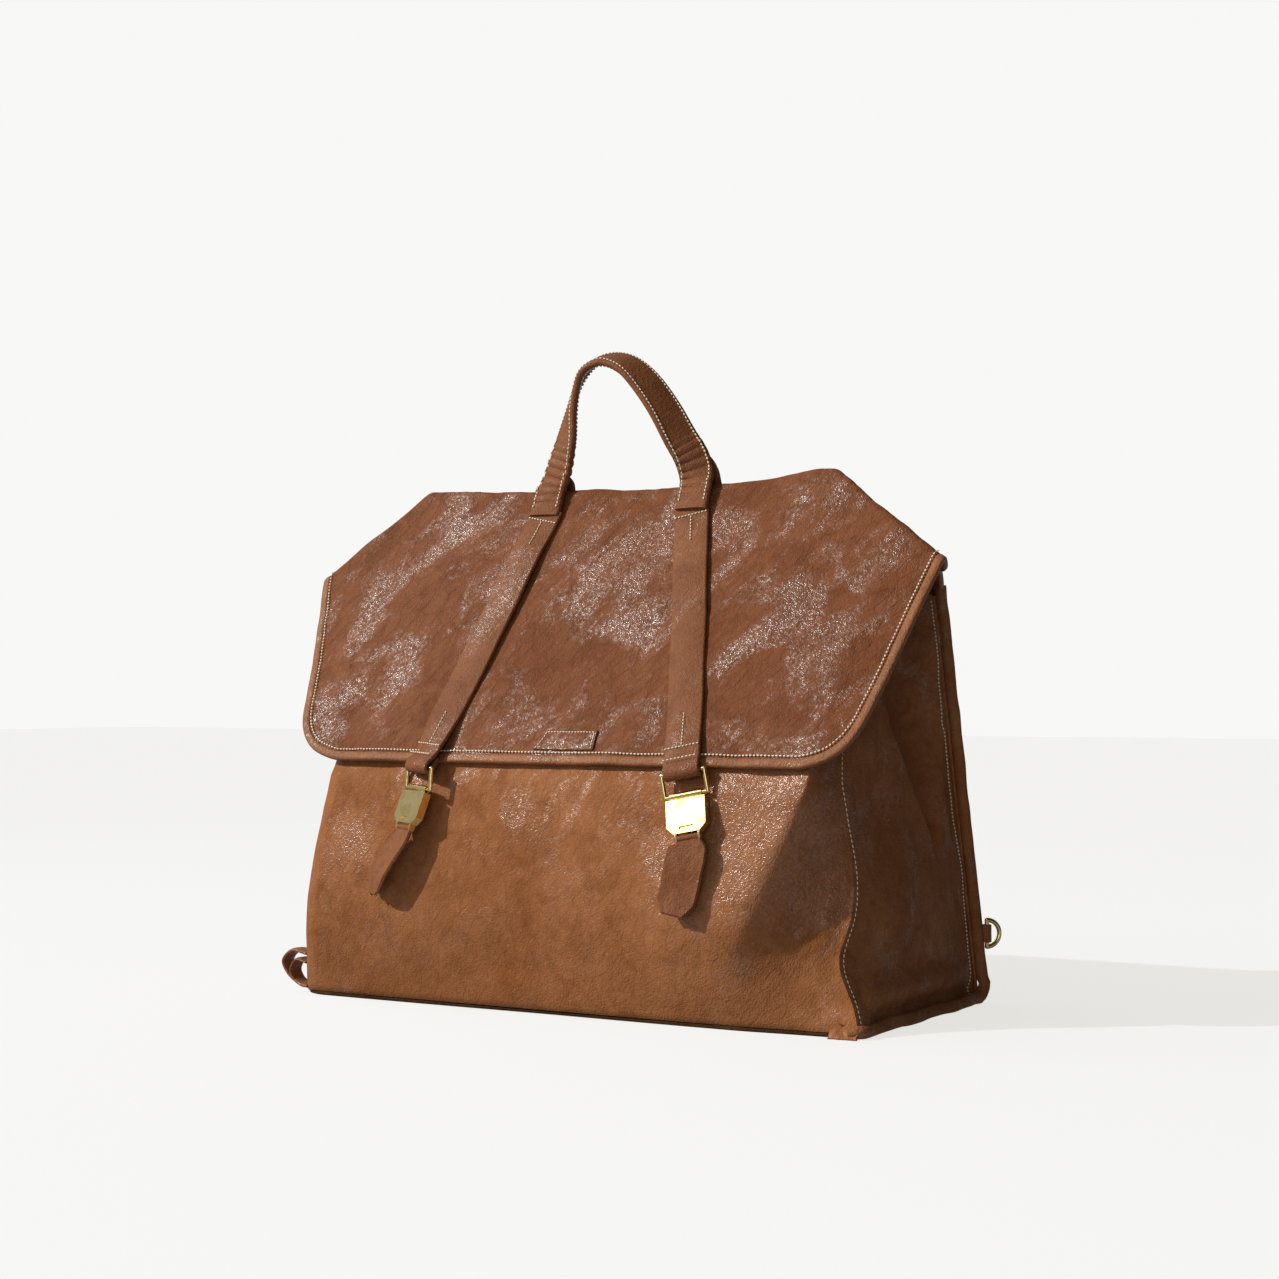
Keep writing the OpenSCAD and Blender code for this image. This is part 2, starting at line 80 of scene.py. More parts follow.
def mix(a, b, t):
    return a + (b - a) * t


def xyz(x, y, z):
    """Points from coordinates, each an array or a plain number."""
    return np.stack(np.broadcast_arrays(x, y, z), -1).astype(float)


def towards(v, direction):
    """The vector or its opposite, whichever looks along the direction."""
    return -v if v @ np.asarray(direction, float) < 0 else v


def relax(points, times):
    """Evens out a run of points in place, between its fixed ends."""
    for _ in range(times):
        points[1:-1] = (points[:-2] + 2 * points[1:-1] + points[2:]) / 4


def angles(start, stop, step):
    """Angles in radians from whole degrees; stop is left out."""
    return np.radians(np.arange(start, stop, step))


def joint_place(name):
    """A joint's point in mm and its axis."""
    j = JOINTS[name]
    return np.array(j["pos_m"]) / MM, np.array(j["axis"], float)


def node_box(name):
    lo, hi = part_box(name)
    return np.array(lo) / MM, np.array(hi) / MM


class Noise:
    """Seeded gradient noise for arrays of points."""

    def __init__(self, seed):
        rng = np.random.RandomState(seed)
        self.perm = np.concatenate([rng.permutation(256)] * 3)
        self.grad = unit(rng.normal(size=(256, 3)))

    def at(self, p):
        p = np.asarray(p, float)
        cell = np.floor(p).astype(int)
        f = p - cell
        cell = cell & 255
        w = f ** 3 * (f * (f * 6 - 15) + 10)
        total = 0.0
        for corner in np.ndindex(2, 2, 2):
            h = self.perm[cell[..., 0] + corner[0]]
            h = self.perm[h + cell[..., 1] + corner[1]]
            h = self.perm[h + cell[..., 2] + corner[2]]
            share = 1.0
            for k in range(3):
                share = share * (w[..., k] if corner[k] else 1 - w[..., k])
            total = total + share * (self.grad[h] * (f - np.array(corner))).sum(-1)
        return total * 1.6

    def sum(self, p, octaves=3, gain=0.5):
        p = np.asarray(p, float)
        return sum(gain ** k * self.at(p * 2 ** k + 7.3 * k) for k in range(octaves))


# ---- mesh helpers ----

def add_mesh(name, verts, faces, body, slot, material, replaces=(), sharp=40, ride=True):
    mesh = bpy.data.meshes.new(name)
    mesh.from_pydata((np.asarray(verts, float) * MM).tolist(), [], [tuple(int(i) for i in f) for f in faces])
    mesh.validate()
    mesh.polygons.foreach_set("use_smooth", [True] * len(mesh.polygons))
    mesh.set_sharp_from_angle(angle=math.radians(sharp))
    mesh.materials.append(material)
    obj = bpy.data.objects.new(name, mesh)
    bpy.context.scene.collection.objects.link(obj)
    if ride:
        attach(obj, body)
    if replaces:
        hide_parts(*replaces)
    return obj


def merge(parts):
    """Joins (verts, faces) pairs into one pair."""
    verts, faces, base = [], [], 0
    for v, f in parts:
        v = np.asarray(v, float).reshape(-1, 3)
        verts.append(v)
        faces += [tuple(int(i) + base for i in face) for face in f]
        base += len(v)
    return np.concatenate(verts), faces


def grid_normals(grid):
    return unit(np.cross(np.gradient(grid, axis=1), np.gradient(grid, axis=0)))


def outer_normals(grid, outward, rows=None):
    """The grid's normals on its outward side, and whether they were turned; rows limits the vote."""
    normal = grid_normals(grid)
    flip = (normal[:rows] * np.asarray(outward, float)).sum(-1).mean() < 0
    return (-normal if flip else normal), flip


def grid_faces(m, n, base, flip):
    i, j = np.meshgrid(np.arange(m - 1), np.arange(n - 1), indexing="ij")
    a = (base + i * n + j).ravel()
    quads = np.stack([a, a + 1, a + n + 1, a + n], 1)
    return quads[:, ::-1].tolist() if flip else quads.tolist()


def band(a, b, k):
    """Quads between two closed rings of k vertices, whose first vertices are a and b."""
    return [(a + j, a + (j + 1) % k, b + (j + 1) % k, b + j) for j in range(k)]


def leather_sheet(grid, thickness, outward):
    """A closed sheet: the grid is its outer face, and its edge is rounded by one middle row.
    outward is a rough direction that tells which way the outer face looks."""
    normal, flip = outer_normals(grid, outward)
    m, n, _ = grid.shape
    inner = grid - normal * thickness
    rim = np.concatenate([
        np.arange(n), np.arange(1, m) * n + n - 1,
        (m - 1) * n + np.arange(n - 2, -1, -1), np.arange(m - 2, 0, -1) * n])
    flat_outer = grid.reshape(-1, 3)
    flat_inner = inner.reshape(-1, 3)
    count = m * n
    edge = (flat_outer[rim] + flat_inner[rim]) / 2
    along = np.roll(edge, -1, 0) - np.roll(edge, 1, 0)
    swell = unit(np.cross(along, flat_outer[rim] - flat_inner[rim]))
    to_middle = grid[m // 2, n // 2] - edge
    swell *= np.where((swell * to_middle).sum(-1, keepdims=True) > 0, -1, 1)
    edge = edge + swell * thickness * 0.3
    verts = np.concatenate([flat_outer, flat_inner, edge])
    faces = grid_faces(m, n, 0, flip) + grid_faces(m, n, count, not flip)
    k = len(rim)
    for a in range(k):
        b = (a + 1) % k
        o0, o1, i0, i1 = rim[a], rim[b], rim[a] + count, rim[b] + count
        e0, e1 = 2 * count + a, 2 * count + b
        pair = [(o1, o0, e0, e1), (e1, e0, i0, i1)]
        faces += [f[::-1] for f in pair] if flip else pair
    return verts, faces


def tree(grid):
    m, n, _ = grid.shape
    return BVHTree.FromPolygons([Vector(p) for p in grid.reshape(-1, 3)], grid_faces(m, n, 0, False))


def on_surface(bvh, points, outward, lift):
    """The points moved onto the surface and lifted off it, with the surface's normals there."""
    places, normals = [], []
    for p in points:
        spot, normal, _, _ = bvh.find_nearest(Vector(p))
        normal = towards(np.array(normal), outward)
        places.append(np.array(spot) + normal * lift)
        normals.append(normal)
    return np.array(places), np.array(normals)


def resample(points, step=None, count=None):
    """The polyline's points at even arc lengths."""
    points = np.asarray(points, float)
    length = np.concatenate([[0], np.cumsum(np.linalg.norm(np.diff(points, axis=0), axis=1))])
    count = count or max(2, int(round(length[-1] / step)) + 1)
    at = np.linspace(0, length[-1], count)
    return np.stack([np.interp(at, length, points[:, k]) for k in range(points.shape[1])], 1)


def curve_through(points, per_span=8):
    """A smooth curve through the given points."""
    p = np.asarray(points, float)
    p = np.concatenate([[2 * p[0] - p[1]], p, [2 * p[-1] - p[-2]]])
    out = []
    for i in range(1, len(p) - 2):
        for t in np.linspace(0, 1, per_span, endpoint=False):
            a, b, c, d = p[i - 1:i + 3]
            out.append(0.5 * (2 * b + (c - a) * t + (2 * a - 5 * b + 4 * c - d) * t ** 2
                              + (3 * b - a - 3 * c + d) * t ** 3))
    out.append(p[-2])
    return np.array(out)


def tangents(path, closed=False):
    if closed:
        return unit(np.roll(path, -1, 0) - np.roll(path, 1, 0))
    return unit(np.gradient(path, axis=0))


def sweep(path, side, section, closed=False):
    """A section of (across, up) points carried along a path; side is the across direction at each point."""
    path = np.asarray(path, float)
    along = tangents(path, closed)
    side = np.broadcast_to(np.asarray(side, float), path.shape)
    side = unit(side - along * (side * along).sum(-1, keepdims=True))
    up = np.cross(side, along)
    section = np.asarray(section, float)
    if section.ndim == 2:
        section = np.broadcast_to(section, (len(path),) + section.shape)
    n, k = section.shape[:2]
    verts = path[:, None] + side[:, None] * section[..., :1] + up[:, None] * section[..., 1:]
    faces = []
    for i in range(n if closed else n - 1):
        faces += band(i * k, (i + 1) % n * k, k)
    if not closed:
        faces += [tuple(range(k - 1, -1, -1)), tuple((n - 1) * k + j for j in range(k))]
    return verts.reshape(-1, 3), faces


def round_section(radius, count=12):
    a = np.arange(count) * 2 * math.pi / count
    return np.stack([np.cos(a), np.sin(a)], 1) * radius


def oval_section(width, thick, count=16, power=0.7):
    a = np.arange(count) * 2 * math.pi / count
    c, s = np.cos(a), np.sin(a)
    x, y = (np.sign(v) * np.abs(v) ** power for v in (c, s))
    return np.stack([x * width / 2, y * thick / 2], 1)


def strap_section(width, thick, crown=0.25, steps=6):
    """A flat strap with rounded edges and a slightly crowned face."""
    r = thick * 0.42
    x0, y0 = width / 2 - r, thick / 2 - r
    points = []
    for cx, cy, start in ((x0, y0, 0), (-x0, y0, 90), (-x0, -y0, 180), (x0, -y0, 270)):
        for k in range(4):
            a = math.radians(start + 30 * k)
            points.append((cx + r * math.cos(a), cy + r * math.sin(a)))
        if start == 0:
            points += [(x0 * (1 - 2 * k / steps), thick / 2 + crown * math.sin(math.pi * k / steps))
                       for k in range(1, steps)]
    return np.array(points)


def capsule(centre, along, up, length, radius):
    rings, count = 4, 6
    side = np.cross(along, up)
    verts = [centre - along * length / 2]
    for i in range(1, rings):
        a = math.pi * i / rings
        r = radius * math.sin(a) ** 0.6
        for j in range(count):
            b = 2 * math.pi * j / count
            spoke = side * math.cos(b) + up * math.sin(b) * 0.8
            verts.append(centre - along * math.cos(a) * length / 2 + r * spoke)
    verts.append(centre + along * length / 2)
    faces = [(0, 1 + (j + 1) % count, 1 + j) for j in range(count)]
    for i in range(rings - 2):
        faces += band(1 + i * count, 1 + (i + 1) * count, count)
    last, a = len(verts) - 1, 1 + (rings - 2) * count
    faces += [(last, a + j, a + (j + 1) % count) for j in range(count)]
    return np.array(verts), faces


STITCH_PITCH = 2.7
STITCH_R = 0.62


def stitch_run(path, normals, pitch=STITCH_PITCH, share=0.72, radius=STITCH_R, slant=0.12):
    """Stitches along a path that lies on a surface with these normals."""
    both = resample(np.hstack([path, normals]), step=pitch)
    places, ups = both[:, :3], unit(both[:, 3:])
    along = tangents(places)
    parts = []
    for p, t, u in zip(places, along, ups):
        lean = unit(t + np.cross(u, t) * slant)
        parts.append(capsule(p + u * radius * 0.5, lean, u, pitch * share, radius))
    return parts


def stitches_on(bvh, points, outward, **how):
    path = resample(points, step=2.0)
    places, normals = on_surface(bvh, path, outward, 0.1)
    return stitch_run(places, normals, **how)


# ---- materials ----

def feed(net, sockets, values):
    """Gives each listed input its link or its plain value."""
    for key, value in values.items():
        if isinstance(value, bpy.types.NodeSocket):
            net.links.new(value, sockets[key])
        elif sockets[key].type == "RGBA":
            sockets[key].default_value = (*value, 1)
        else:
            sockets[key].default_value = value


def node(net, kind, inputs=None, **settings):
    """Adds a shader node and gives its outputs."""
    made = net.nodes.new("ShaderNode" + kind)
    for key, value in settings.items():
        setattr(made, key, value)
    feed(net, made.inputs, inputs or {})
    return made.outputs


def new_material(name):
    """A material with its node tree and its shader's inputs."""
    material = bpy.data.materials.new(name)
    material.use_nodes = True
    net = material.node_tree
    return material, net, net.nodes["Principled BSDF"].inputs


def object_coords(net):
    return node(net, "TexCoord")["Object"]


def stretched_coords(net, along, stretch, scale):
    """Object coordinates, scaled, and stretched along one direction."""
    along = unit(along)
    across = unit(np.cross(along, (0.3, -0.9, 0.2)))
    coords = object_coords(net)
    axes = zip("XYZ", (along, across, np.cross(along, across)), (scale / stretch, scale, scale))
    parts = {key: node(net, "VectorMath", {0: coords, 1: axis * size}, operation="DOT_PRODUCT")["Value"]
             for key, axis, size in axes}
    return node(net, "CombineXYZ", parts)[0]


def noise_node(net, scale, detail=4, rough=0.5, distortion=0.0, vector=None):
    vector = object_coords(net) if vector is None else vector
    return node(net, "TexNoise", {"Scale": scale, "Detail": detail, "Roughness": rough,
                                  "Distortion": distortion, "Vector": vector})["Fac"]


def remap(net, value, lo, hi, to_lo, to_hi):
    return node(net, "MapRange", {"Value": value, "From Min": lo, "From Max": hi, "To Min": to_lo,
                                  "To Max": to_hi}, interpolation_type="SMOOTHSTEP")["Result"]


def math_node(net, operation, a, b):
    return node(net, "Math", {0: a, 1: b}, operation=operation)[0]


def mix_colour(net, factor, a, b):
    return node(net, "Mix", {0: factor, 6: a, 7: b}, data_type="RGBA")[2]


def bumps(net, *layers):
    """Stacks (height, distance) bumps, each on the one before."""
    normal = {}
    for height, distance in layers:
        inputs = {"Strength": 1.0, "Distance": distance, "Height": height, **normal}
        normal = {"Normal": node(net, "Bump", inputs)["Normal"]}
    return normal["Normal"]


STREAK = (0.62, 0.3, 0.72)


def leather(name, mid, light, dark, streak=STREAK, wrinkle=1.0, polish=(0.04, 0.72), shine=()):
    """Waxed leather: cloudy colour, pebble grain, fine wrinkles and a polish that comes and goes in patches.
    shine lists rubbed places: (centre, reach, extra polish)."""
    material, net, shader = new_material(name)

    def streaked(stretch, scale):
        return stretched_coords(net, streak, stretch, scale)

    def tint(value, lo, hi, amount, colour, other):
        return mix_colour(net, remap(net, value, lo, hi, 0, amount), colour, other)

    wrinkles = noise_node(net, 1.0, 6, 0.62, 1.4, streaked(3.2, 95))
    fine = noise_node(net, 1.0, 4, 0.6, 0.8, streaked(2.0, 330))
    pebbles = node(net, "TexVoronoi", {"Scale": 950, "Randomness": 1.0, "Vector": object_coords(net)},
                   feature="SMOOTH_F1")
    creases = node(net, "TexVoronoi", {"Scale": 1.0, "Vector": streaked(2.2, 120)}, feature="DISTANCE_TO_EDGE")
    crease_line = remap(net, creases["Distance"], 0.0, 0.12, 1.0, 0.0)
    colour = tint(noise_node(net, 11, 5, 0.6, 0.4), 0.3, 0.7, 1, mid, light)
    colour = tint(noise_node(net, 55, 5, 0.65, 0.8), 0.42, 0.72, 0.55, colour, dark)
    colour = tint(wrinkles, 0.52, 0.75, 0.35, colour, light)
    colour = tint(noise_node(net, 300, 5, 0.7, 0.5), 0.54, 0.70, 0.45, colour, [1.35 * c for c in light])
    # Painted shade: the colour is darkened along the sunken crease lines.
    colour = mix_colour(net, math_node(net, "MULTIPLY", crease_line, 0.28 * wrinkle), colour, dark)
    worn = noise_node(net, 1.0, 7, 0.72, 0.6, streaked(1.6, 26))
    for centre, reach, amount in shine:
        spot = {0: object_coords(net), 1: [c * MM for c in centre]}
        away = node(net, "VectorMath", spot, operation="DISTANCE")["Value"]
        worn = math_node(net, "ADD", remap(net, away, 0, reach * MM, amount, 0), worn)
    speckle = remap(net, noise_node(net, 430, 3, 0.6), 0.40, 0.60, 0.25, 1.15)
    gloss = math_node(net, "MULTIPLY", speckle, remap(net, worn, 0.44, 0.68, 0, 1))
    normal = bumps(net, (wrinkles, 0.0009 * wrinkle), (fine, 0.0003 * wrinkle),
                   (noise_node(net, 620, 3, 0.6), 0.0005), (crease_line, -0.00012 * wrinkle),
                   (pebbles["Distance"], 0.00032))
    feed(net, shader, {"Base Color": colour, "Roughness": remap(net, gloss, 0, 1, 0.46, 0.23),
                       "Specular IOR Level": remap(net, gloss, 0, 1, *polish), "Normal": normal})
    return material


def metal(name, base, worn, rough):
    material, net, shader = new_material(name)
    cloud = remap(net, noise_node(net, 120, 4, 0.6), 0.4, 0.7, 0, 1)
    scratches = noise_node(net, 1.0, 3, 0.6, 0.0, stretched_coords(net, (0.2, 0.1, 1), 30, 2500))
    feed(net, shader, {"Base Color": mix_colour(net, cloud, base, worn), "Metallic": 1.0,
                       "Roughness": remap(net, scratches, 0.3, 0.7, rough * 0.7, rough * 1.6),
                       "Normal": bumps(net, (scratches, 0.00002))})
    return material


def thread(name, colour, dark):
    material, net, shader = new_material(name)
    feed(net, shader, {"Base Color": mix_colour(net, noise_node(net, 900, 2), colour, dark), "Roughness": 0.7})
    return material


def cloth(name, colour, dark):
    """Cotton twill, seen as fine diagonal ribs."""
    material, net, shader = new_material(name)
    ribs = node(net, "TexWave", {"Scale": 420, "Distortion": 1.5, "Vector": object_coords(net)},
                bands_direction="DIAGONAL")["Fac"]
    slub = noise_node(net, 240, 4, 0.6)
    tone = mix_colour(net, ribs, dark, colour)
    feed(net, shader, {"Base Color": mix_colour(net, remap(net, slub, 0.35, 0.7, 0, 0.5), tone, dark),
                       "Normal": bumps(net, (ribs, 0.0002), (slub, 0.0004)),
                       "Roughness": 0.85, "Sheen Weight": 0.2})
    return material


def board_material(name):
    material, net, shader = new_material(name)
    fibre = noise_node(net, 1.0, 5, 0.7, 0.6, stretched_coords(net, (1, 0.2, 0), 6, 500))
    feed(net, shader, {"Base Color": mix_colour(net, fibre, (0.30, 0.21, 0.12), (0.48, 0.36, 0.22)),
                       "Normal": bumps(net, (fibre, 0.0003)), "Roughness": 0.8})
    return material


BODY_LEATHER = leather("body_leather", (0.280, 0.104, 0.036), (0.36, 0.146, 0.058), (0.19, 0.062, 0.018),
                       streak=(0.5, 0.2, 0.85), wrinkle=0.6, shine=[((150, -115, 120), 110, 0.17)])
FLAP_LEATHER = leather("flap_leather", (0.180, 0.062, 0.024), (0.235, 0.088, 0.038), (0.12, 0.037, 0.014),
                       shine=[((20, -52, 292), 70, 0.10), ((76, -30, 334), 55, 0.12),
                              ((-190, -66, 262), 60, 0.05), ((165, -62, 270), 60, 0.07)])
STRAP_LEATHER = leather("strap_leather", (0.205, 0.075, 0.030), (0.26, 0.102, 0.043), (0.14, 0.047, 0.018),
                        wrinkle=0.4, polish=(0.08, 0.35))
EDGE_LEATHER = leather("edge_leather", (0.25, 0.094, 0.036), (0.33, 0.13, 0.052), (0.17, 0.060, 0.022),
                       wrinkle=0.35, polish=(0.2, 0.45))
# Painted shade: the base leather is coloured near black so the bag's rounded lower edge reads as a dark shaded
# band above the floor.
BASE_PAINTED_SHADE_LEATHER = leather("base_painted_shade_leather", (0.05, 0.026, 0.014), (0.08, 0.04, 0.02), (0.03, 0.014, 0.008),
                       wrinkle=0.5, polish=(0.0, 0.1))
BRASS = metal("brass", (0.92, 0.72, 0.33), (0.78, 0.55, 0.17), 0.13)
STEEL = metal("steel", (0.55, 0.55, 0.56), (0.45, 0.45, 0.46), 0.3)
THREAD = thread("thread", (0.95, 0.86, 0.68), (0.78, 0.66, 0.48))
TWILL = cloth("twill", (0.42, 0.33, 0.24), (0.30, 0.23, 0.16))
BOARD = board_material("board")


# ---- the body: a lofted shell in four sewn panels ----

WALL_T = 2.8
front_hi = node_box("front_panel")[1]
back_hi = node_box("back_panel")[1]
BASE_HALF = front_hi[0]
BACK_HALF = back_hi[0]
MOUTH_Z = front_hi[2]
HALF_D = back_hi[1]
FRONT_Y = -HALF_D + 1
FRONT_TAPER, BACK_TAPER, FRONT_SLOPE = 0.152, 0.056, 0.46
BACK_LEAN = (HALF_D - 65.2) / 283
BELLY_Z = 160
wall_noise = Noise(11)


def front_half(z):
    return BASE_HALF - FRONT_TAPER * z


def back_half(z):
    return BACK_HALF - BACK_TAPER * z


def front_y(z):
    lower = FRONT_Y - 5 * np.sin(math.pi * np.clip(z / BELLY_Z, 0, 1))
    return lower + np.maximum(z - BELLY_Z, 0) * FRONT_SLOPE


def back_y(z):
    return HALF_D - BACK_LEAN * z


def tuck(z, radius):
    """How far the wall has curled under at height z."""
    drop = np.clip((radius - z) / radius, 0, 1)
    return radius * (1 - np.sqrt(1 - drop ** 2))


def profile(points):
    """A smooth function of height through (height, value) points."""
    line = curve_through([(a, b, 0) for a, b in points])
    return lambda z: np.interp(z, line[:, 0], line[:, 1])


# The right corner is slumped: the front folds along a slanting crease, and a hollow facet
# runs back to the seam.
crease_x = profile([(0, 146), (19, 144), (49, 143), (88, 160), (140, 184), (168, 192), (220, 186), (286, 170)])
seam_depth = {1: profile([(0, 5), (10, 7), (22, 11), (35, 14), (50, 18), (75, 27), (105, 33), (140, 28),
                          (190, 22), (286, 20)]),
              -1: profile([(0, 9), (286, 9)])}
# How far the full leather swells in front of the flat panel
swell_at = profile([(0, 1), (25, 5), (60, 9.5), (90, 11), (120, 10.3), (148, 8.8), (165, 7.4), (176, 8.2),
                    (200, 8.5), (228, 4.5), (260, 1.2), (286, 0)])

FLAT_SHARE = 0.7
FOLD_W, ROLL_W = 24, 15
BOTTOM_Z = 3.2
EDGE_R = 8


def front_wall(u, z):
    a, right = np.abs(u), u > 0
    t = np.clip((a - FLAT_SHARE) / (1 - FLAT_SHARE), 0, 1)
    xs, xc = np.where(right, seam_x(z, 1), front_half(z)), crease_x(z)
    x0 = np.where(right, xc - FOLD_W, xs - ROLL_W)
    turn = t * math.pi / 2
    beyond = np.where(right, mix(xc - FOLD_W, xs, t), -(x0 + ROLL_W * np.sin(turn)))
    x = np.where(a <= FLAT_SHARE, u / FLAT_SHARE * x0, beyond)
    along = (x - xc) / (xs - xc)
    fold = np.maximum((along + np.sqrt(along ** 2 + 0.012)) / 2 - 0.003, 0)
    hollow = 6 * np.sin(math.pi * np.clip(along, 0, 1)) * hill(z, 74, 44)
    depth = np.where(right, seam_depth[1](z) * fold + hollow, 9 * (1 - np.cos(turn)))
    face = np.where(right, 0.75 * smooth(-0.1, 0.6, along), turn)
    y = front_y(z) + depth - 2.5 * (1 - np.clip(a / FLAT_SHARE, 0, 1) ** 2)
    at_seam = 1 - smooth(0.93, 1.0, a)
    p = xyz(x, y, z)
    sag = 1.9 * wall_noise.sum(p / 95.0, 2) + 0.7 * wall_noise.sum(p / 30.0 + 4, 2)
    sag = sag + 0.16 * wall_noise.sum(p / (9.0, 9.0, 14.0) + 9, 2)
    slump = swell_at(z) * np.where(right, 1 - 0.8 * smooth(-0.3, 0.9, along), 1 - 0.6 * t)
    slump = slump + 9 * np.exp(-((x - 128) / 58) ** 2 - ((z - 66) / 46) ** 2)
    push = (sag * smooth(0, 30, z) + slump) * at_seam * (1 - smooth(250, 286, z) * 0.8)
    y = y - push * np.cos(face)
    x = x + np.sign(u) * push * np.sin(face) * 0.6
    curl = tuck(z, EDGE_R) * (1 - 0.45 * smooth(0.8, 1.0, a))
    y = y + curl * np.cos(face)
    x = x - np.sign(u) * curl * np.sin(face)
    groove = 1.3 * smooth(0.975, 1.0, a)
    return xyz(x - np.sign(u) * groove, y, z)


def seam_x(z, side):
    """The side seam's distance from the middle; the right one is drawn in above the bottom fold."""
    return front_half(z) - (11 * hill(z, 46, 24) if side > 0 else 0)


def side_wall(t, z, side):
    ya, yb = front_y(z) + seam_depth[side](z), back_y(z) - 1.5
    y = mix(ya, yb, t)
    x = mix(seam_x(z, side), back_half(z), t) + 0 * y
    apex_z, apex_y = 104, 40
    above = np.maximum(z - apex_z, 0)
    centre = apex_y - 0.11 * above
    half = np.minimum(3 + 0.40 * above, 50)
    half = np.minimum(half, yb - 5 - centre)
    share = np.clip(1 - np.abs(y - centre) / half, 0, 1)
    depth = 54 * smooth(apex_z - 10, 300, z) ** 0.75
    share = np.where(share > 0, np.sqrt(share ** 2 + 0.004) - 0.063, 0)
    window = smooth(0, 0.1, t) * (1 - smooth(0.9, 1.0, t))
    p = xyz(x + 300 * side, y, z)
    sag = 2.4 * wall_noise.sum(p / 70.0, 2) + 0.8 * wall_noise.sum(p / 24.0 + 3, 2)
    sag = sag + 0.2 * wall_noise.sum(p / (8.0, 9.0, 16.0) + 9, 2)
    shoulder = 6 * hill(share * half, 0, 9) * smooth(apex_z, apex_z + 40, z)
    shoulder = shoulder * smooth(0.03, 0.2, t) * (1 - smooth(0.8, 0.97, t))
    belly = 7 * np.sin(math.pi * t) * hill(z, 74, 42)
    roll = 5.5 * hill(z, 25, 8) * smooth(0.0, 0.18, t) * (1 - smooth(0.72, 0.98, t))
    press = 3.5 * hill(z, 11, 5) * smooth(0.02, 0.2, t)
    dent = 5 * hill(z, 150, 40) * hill(t, 0.2, 0.13)
    x = x + (sag + shoulder * 0.5 + belly + roll - press - dent) * window
    x = x - depth * share * smooth(0.02, 0.12, t)
    x = x - tuck(z, 8) - 1.3 * (1 - smooth(0, 0.03, t)) - 2.2 * hill(t, 1.0, 0.02)
    return xyz(side * x, y, z)


def back_wall(u, z):
    x = u * back_half(z)
    p = xyz(x, z + 500, 0)
    window = (1 - smooth(0.9, 1.0, np.abs(u))) * smooth(0, 25, z) * (1 - smooth(262, 285, z))
    swell = 2.2 * wall_noise.sum(p / 110.0, 2) + 0.5 * wall_noise.sum(p / 26.0, 2) + 2 * (1 - u ** 2)
    y = back_y(z) + swell * window - tuck(z, 6) - 1.2 * smooth(0.985, 1.0, np.abs(u))
    return xyz(x, y, z)


wall_z = np.concatenate([np.linspace(BOTTOM_Z, EDGE_R, 8)[:-1], np.linspace(EDGE_R, MOUTH_Z, 126)])
U, Z = np.meshgrid(np.linspace(-1, 1, 261), wall_z)
front_grid = front_wall(U, Z)
T, Z = np.meshgrid(np.linspace(0, 1, 96), wall_z)
side_grid = {name: side_wall(T, Z, side) for name, side in SIDES.items()}
U, Z = np.meshgrid(np.linspace(-1, 1, 141), wall_z[::2])
back_grid = back_wall(U, Z)

WALLS = {"front_shell": (front_grid, (0, -1, 0), "front_panel"),
         "back_shell": (back_grid, (0, 1, 0), "back_panel"),
         "side_shell_left": (side_grid["left"], (-1, 0, 0), "gusset_left"),
         "side_shell_right": (side_grid["right"], (1, 0, 0), "gusset_right")}
for name, (grid, outward, panel) in WALLS.items():
    add_mesh(name, *leather_sheet(grid, WALL_T, outward), "body", "body_leather", BODY_LEATHER, [panel])


def base_shell():
    """The bottom leather: an outline under the walls' lower edges, flat on the floor."""
    ring = np.concatenate([
        front_grid[0][::4], side_grid["right"][0][4::8],
        back_grid[0][::-1][::6], side_grid["left"][0][::-1][4::8]])[:, :2]
    centre = ring.mean(0)
    n = len(ring)
    rows = []
    for inset, z in ((3.4, 3.4), (0.6, 1.9), (1.2, 0.6), (4.0, 0.0)):
        to_centre = unit(centre - ring)
        rows.append(np.column_stack([ring + to_centre * inset, np.full(n, z)]))
    verts = np.concatenate(rows)
    faces = [f for k in range(3) for f in band(k * n, (k + 1) * n, n)]
    return verts, [f[::-1] for f in faces] + [tuple(range(n)), tuple(3 * n + j for j in range(n - 1, -1, -1))]


# The base's near-black colour is painted shade for the dark band under the front edge.
add_mesh("base_shell", *base_shell(), "body", "body_leather", BASE_PAINTED_SHADE_LEATHER, ["base_panel"])


def lining_shell():
    """Fabric inside the four walls, and a floor that follows the front's lower line."""
    parts = []
    gap, thin = 3.6, 0.7
    for grid, outward, _ in WALLS.values():
        grid = grid[3::3, ::3]
        moved = grid - outer_normals(grid, outward)[0] * gap
        moved[0, :, 2] = np.maximum(moved[0, :, 2], 7)
        moved[-1, :, 2] = MOUTH_Z - 1.5
        parts.append(leather_sheet(moved, thin, outward))
    front_line = front_grid[8, ::8] * (0.965, 0.95, 1)
    back_line = xyz(front_line[:, 0] * 1.02, HALF_D - 9, front_line[:, 2])
    bottom = mix(front_line, back_line, np.linspace(0, 1, 16)[:, None, None])
    bottom[..., 2] = 7.4 + 0.5 * wall_noise.at(bottom / 60)
    parts.append(leather_sheet(bottom, thin, (0, 0, 1)))
    return merge(parts)


add_mesh("lining_shell", *lining_shell(), "body", "lining_fabric", TWILL, ["lining"])


